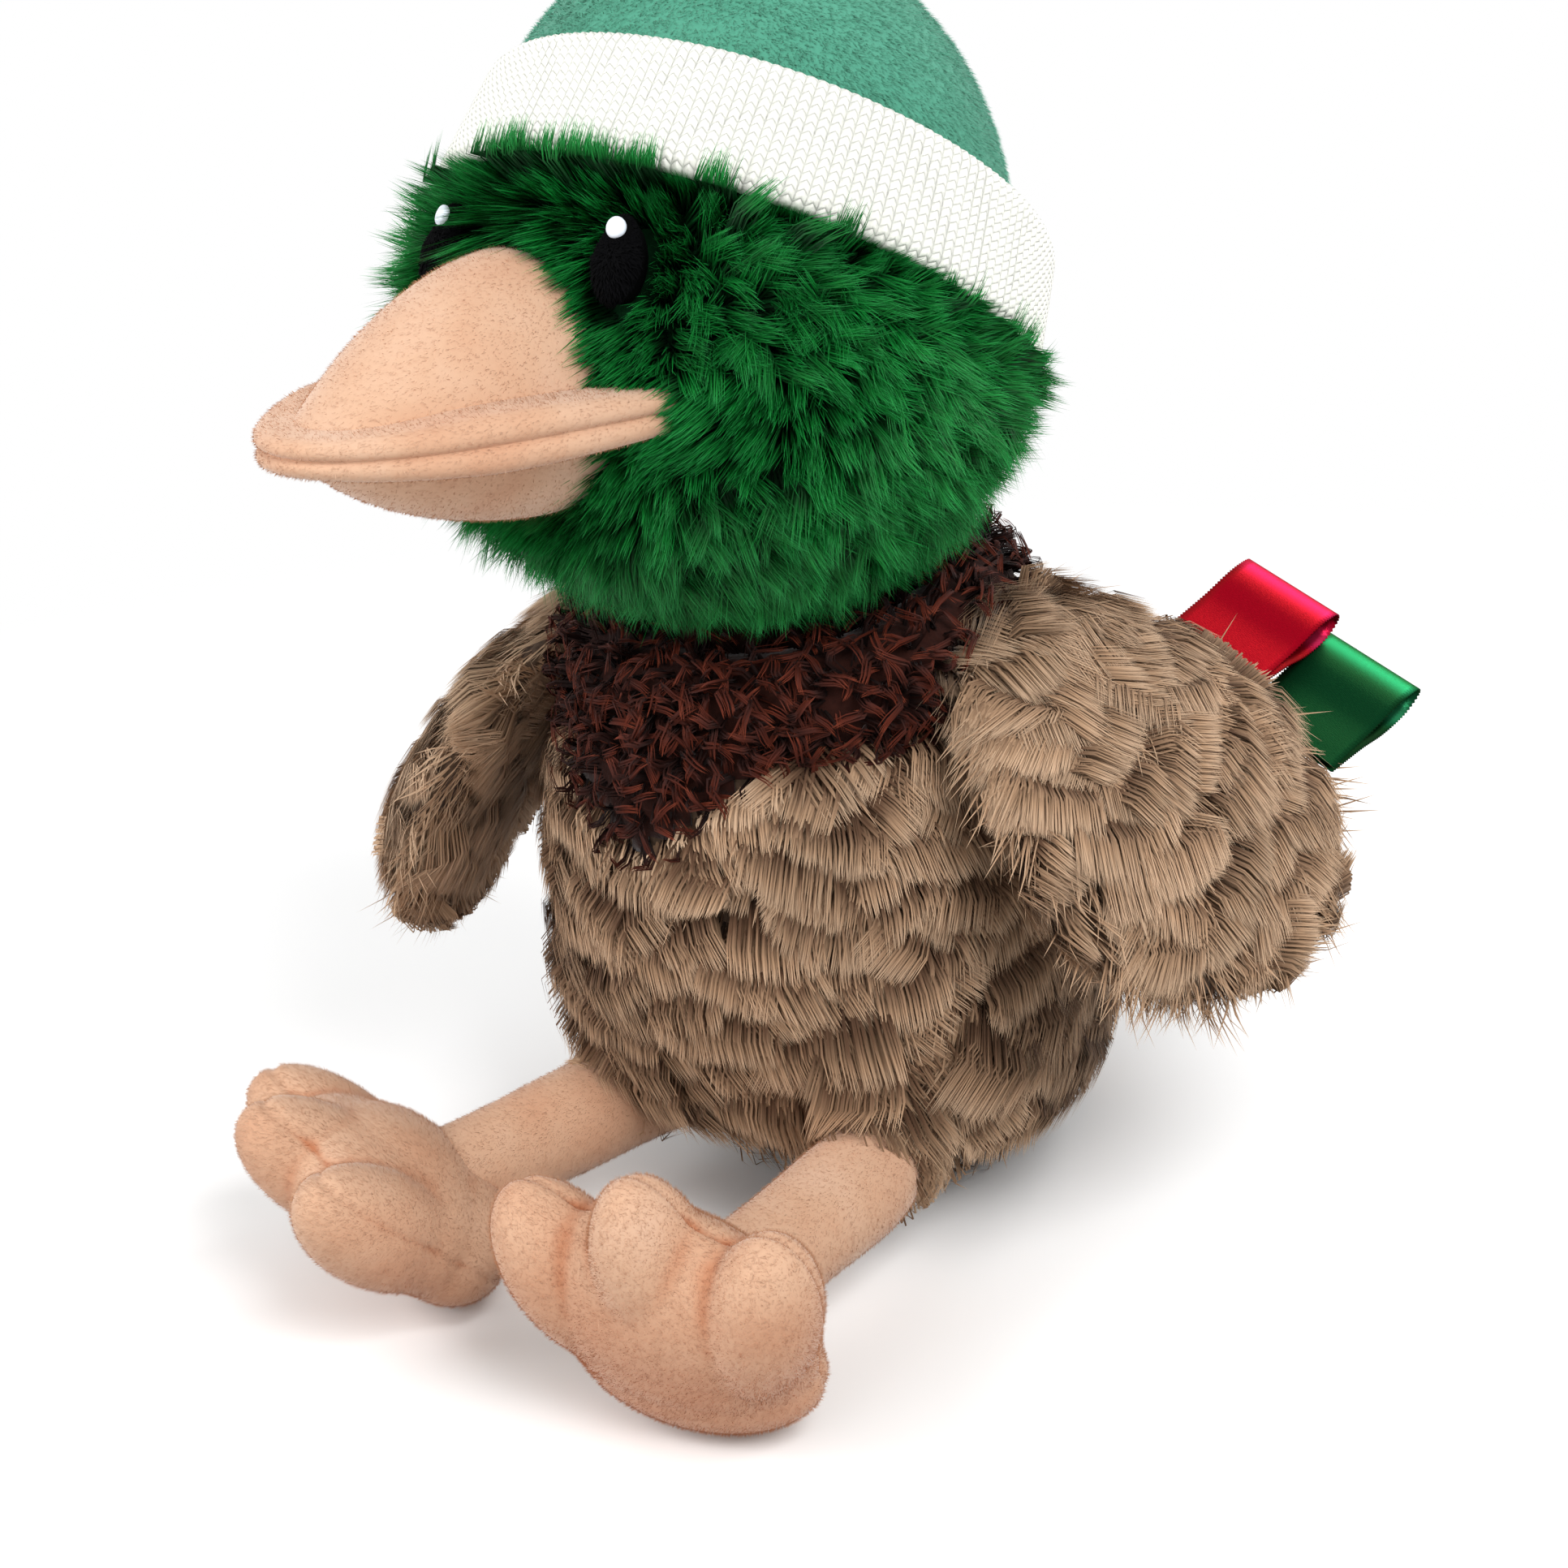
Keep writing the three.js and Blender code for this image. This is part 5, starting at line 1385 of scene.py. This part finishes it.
def curveThrough(points, step):  # evenly spaced points along a smooth line
    points = [Vector(point) for point in points]
    line = []
    for number in range(len(points) - 1):
        before = points[max(0, number - 1)]
        first, second = points[number], points[number + 1]
        after = points[min(len(points) - 1, number + 2)]
        for share in np.linspace(0, 1, 40, endpoint=False):
            square, cube = share * share, share ** 3
            line.append(0.5 * (2 * first + (second - before) * share
                               + (2 * before - 5 * first + 4 * second - after) * square
                               + (3 * first - before - 3 * second + after) * cube))
    line.append(points[-1])
    lengths = np.cumsum([0] + [(b - a).length for a, b in zip(line, line[1:])])
    count = int(lengths[-1] / step)
    wanted = np.linspace(0, lengths[-1], count + 1)
    line = np.array([list(point) for point in line])
    return np.stack([np.interp(wanted, lengths, line[:, axis]) for axis in range(3)], 1), lengths[-1]


def satinMaterial(name, colour, gleam):
    material, tree, shader = newMaterial(name, 0.36, 0.0, 0.45)
    coordinates = tree.nodes.new('ShaderNodeTexCoord')
    parts = tree.nodes.new('ShaderNodeSeparateXYZ')
    link(tree, coordinates.outputs['UV'], parts.inputs[0])
    grain = noise(tree, 1.0, 2.0, (2.0, 5.0, 1), 'UV')
    shader.inputs['Anisotropic'].default_value = 0.7
    tangent = tree.nodes.new('ShaderNodeTangent')
    tangent.direction_type = 'UV_MAP'
    link(tree, tangent.outputs[0], shader.inputs['Tangent'])
    dark = [value * 0.78 for value in paint(*colour)[:3]] + [1]
    base = ramp(tree, [(0.3, dark), (0.7, paint(*colour))], grain)
    # painted highlight: the colour is mixed towards the gleam colour where the cloth turns over
    link(tree, mixed(tree, 'MIX', readAttribute(tree, 'painted_fold_highlight'), base, paint(*gleam)), shader.inputs['Base Color'])
    shader.inputs['Specular Tint'].default_value = paint(*gleam)
    shader.inputs['Metallic'].default_value = 0.8
    addBump(tree, shader, grain, 0.25, 0.15)
    return material


def buildRibbon(name, spec):
    length, half = spec['length'], ribbon['halfOpen']
    upper = [(ribbon['rootHalf'] * 0.6, -ribbon['sewn'], 0), (ribbon['rootHalf'], 0, 0)]
    upper += [(half * wide, length * place, 0) for place, wide in ribbon['swell']]
    path = upper + [(0, length, 0)] + [(-x, y, z) for x, y, z in reversed(upper)]
    line, total = curveThrough(path, ribbon['step'])
    deselect()
    bpy.ops.mesh.primitive_grid_add(x_subdivisions=ribbon['columns'], y_subdivisions=len(line) - 1, size=1)
    piece = newest(name + '_satin')
    mesh = piece.data
    columns = ribbon['columns'] + 1
    uvs = mesh.uv_layers.active.data
    for vertex in mesh.vertices:
        across, along = round((vertex.co.x + 0.5) * (columns - 1)), round((vertex.co.y + 0.5) * (len(line) - 1))
        x, y, z = line[along]
        edge = across in (0, columns - 1)
        wide = (across / (columns - 1) - 0.5) * ribbon['width']
        if edge:
            wide += math.copysign(ribbon['picot'] * (along % 2), wide)
        vertex.co = Vector((x, y, wide)) * mm
    for loop in uvs:
        loop.uv = (loop.uv[0] * ribbon['width'], loop.uv[1] * total)
    rows = np.array([vertex.co.y for vertex in mesh.vertices]) / mm / length
    painted_fold_highlight = 0.4 * np.exp(-((rows - 0.84) / 0.1) ** 2)  # painted highlight: the colour is lightened where the cloth turns over
    mesh.attributes.new('painted_fold_highlight', 'FLOAT', 'POINT').data.foreach_set('value', painted_fold_highlight.astype(np.float32))
    place = Matrix.Translation(Vector(spec['root']) * mm) @ wingPlace('left').to_3x3().to_4x4()
    settle(piece, place @ turnedAbout('X', ribbon['rise']) @ turnedAbout('Y', ribbon['twist']))
    finish(piece, 'SOLIDIFY', thickness=ribbon['thickness'] * mm, offset=0)
    coat(smoothShaded(piece), satinMaterial(spec['slot'].replace('_', ' '), spec['colour'], spec['gleam']))
    dressed(piece, spec['body'], spec['slot'], name)
    print(name, 'flat', ribbon['width'], 'by', round(total, 1))


for loopName, loopSpec in ribbon['loops'].items():
    buildRibbon(loopName, loopSpec)


# Legs and feet
limb = {'hipRadius': 10.6, 'ankleRadius': 9.2, 'into': 25, 'past': 6, 'dome': 26, 'drawnIn': 0.03}
foot = {
    'lumps': (((0, 0, 13), (24, 13, 13)), ((0, -0.6, 21), (25, 13.4, 18)), ((0, 3, 24), (18, 11, 18)),
              ((0, -1.3, 26), (26, 13, 21))),
    'middleToe': ((0, -2.4, 37.5), (9.4, 10.6, 19)), 'sideToe': ((18.2, -2.2, 30.5), (10, 10.8, 19.5)),
    'spread': 19, 'inset': 0.2, 'voxel': 0.9, 'smoothing': 12, 'hair': 48000, 'seam': 1.5, 'seamDepth': 0.7,
    'seamWidth': 0.8,
}


def buildLeg(name):
    start, end = Vector(duck['hip'][name]), Vector(duck['ankle'][name])
    way = (end - start).normalized()
    length = (end - start).length
    turn = way.to_track_quat('Z', 'Y').to_matrix().to_4x4()
    inward = turn.inverted() @ Vector((-sides[name], 0, 0))
    rings = []
    for share in (0.0, 0.03, 0.09, 0.17, 0.26, 0.38, 0.5, 0.625, 0.75, 0.875, 1.0):
        z = -limb['into'] + share * (length + limb['into'] + limb['past'])
        radius = limb['hipRadius'] + (limb['ankleRadius'] - limb['hipRadius']) * share
        radius += 0.25 * math.sin(share * 17 + sides[name])
        rest = max(0, 1 - (z + limb['into']) / limb['dome'])  # the root is rounded and drawn in
        radius *= math.sqrt(max(0.08, 1 - rest ** 2))
        aside = inward * limb['drawnIn'] * min(0, z) ** 2
        rings.append((z, aside.x, aside.y, radius, radius, radius, radius))
    leg = settle(loft(name + '_leg_cloth', rings, 28), Matrix.Translation(start * mm) @ turn)
    finish(leg, 'SUBSURF', levels=2, render_levels=2)
    coat(smoothShaded(leg), peachMaterial)
    dressed(leg, name + '_leg', 'peach_velour', name + '_leg')
    growVelour(name + '_leg_hair', leg, 22000, 81 + sides[name], 0.9, 0.12, 1.8, way, peachHair,
               name + '_leg', 'peach_velour')


def buildFoot(name):
    pieces = []
    inset = foot['inset']

    def add(centre, radii, turn=0):
        deselect()
        bpy.ops.mesh.primitive_uv_sphere_add(segments=40, ring_count=24, radius=mm,
                                             scale=[radius - inset for radius in radii])
        lump = newest(name + '_lump')
        settle(lump, shifted(*centre) @ turnedAbout('Y', turn))
        pieces.append(lump)

    for centre, radii in foot['lumps']:
        add(centre, radii)
    add(*foot['middleToe'])
    (x, y, z), radii = foot['sideToe']
    add((x, y, z), radii, foot['spread'])
    add((-x, y, z), radii, -foot['spread'])
    sole = joined(name + '_foot_cloth', pieces)
    finish(sole, 'REMESH', mode='VOXEL', voxel_size=foot['voxel'] * mm)
    finish(sole, 'SMOOTH', factor=0.5, iterations=foot['smoothing'])

    def seam(places, normals):  # between sole and top, over the toes' tips
        return -foot['seamDepth'] * np.exp(-((places[:, 1] - foot['seam']) / foot['seamWidth']) ** 2)

    pushed(sole, seam)
    settle(sole, footPlace(name))
    coat(smoothShaded(sole), peachMaterial)
    dressed(sole, name + '_foot', 'peach_velour', name + '_foot_sole', name + '_foot_top')
    flow = footPlace(name).to_3x3() @ Vector((0, -0.3, 1))

    def paintedSoleShade(places):  # painted shade: the sole is coloured a little darker than the toes, as if it lay in shade
        local = inPlace(places, footPlace(name))
        return 0.42 * np.clip((6 - local[:, 1]) / 12, 0, 1) * np.clip((44 - local[:, 2]) / 22, 0, 1)

    growVelour(name + '_foot_hair', sole, foot['hair'], 91 + sides[name], 1.0, 0.1, 1.5, flow, peachHair,
               name + '_foot', 'peach_velour', painted_shade_mask=markPaintedShade(sole, 5.0, 7.0, paintedSoleShade))


for sideName in sides:
    buildLeg(sideName)
    buildFoot(sideName)
print('legs and feet')


# Base panel: the round piece of cloth under the seat
def buildBase():
    rings = [(0.0, 0, 0, 22.6, 22.6, 22.6, 22.6), (0.5, 0, 0, 23.4, 23.4, 23.4, 23.4),
             (2.2, 0, 0, 23.4, 23.4, 23.4, 23.4), (2.7, 0, 0, 22.6, 22.6, 22.6, 22.6)]
    panel = smoothShaded(loft('base_panel_cloth', rings, 64))
    coat(panel, backingMaterial('dark taupe cloth', (134, 112, 93)))
    dressed(panel, 'torso', 'taupe_dark_pile', 'base_panel')


buildBase()
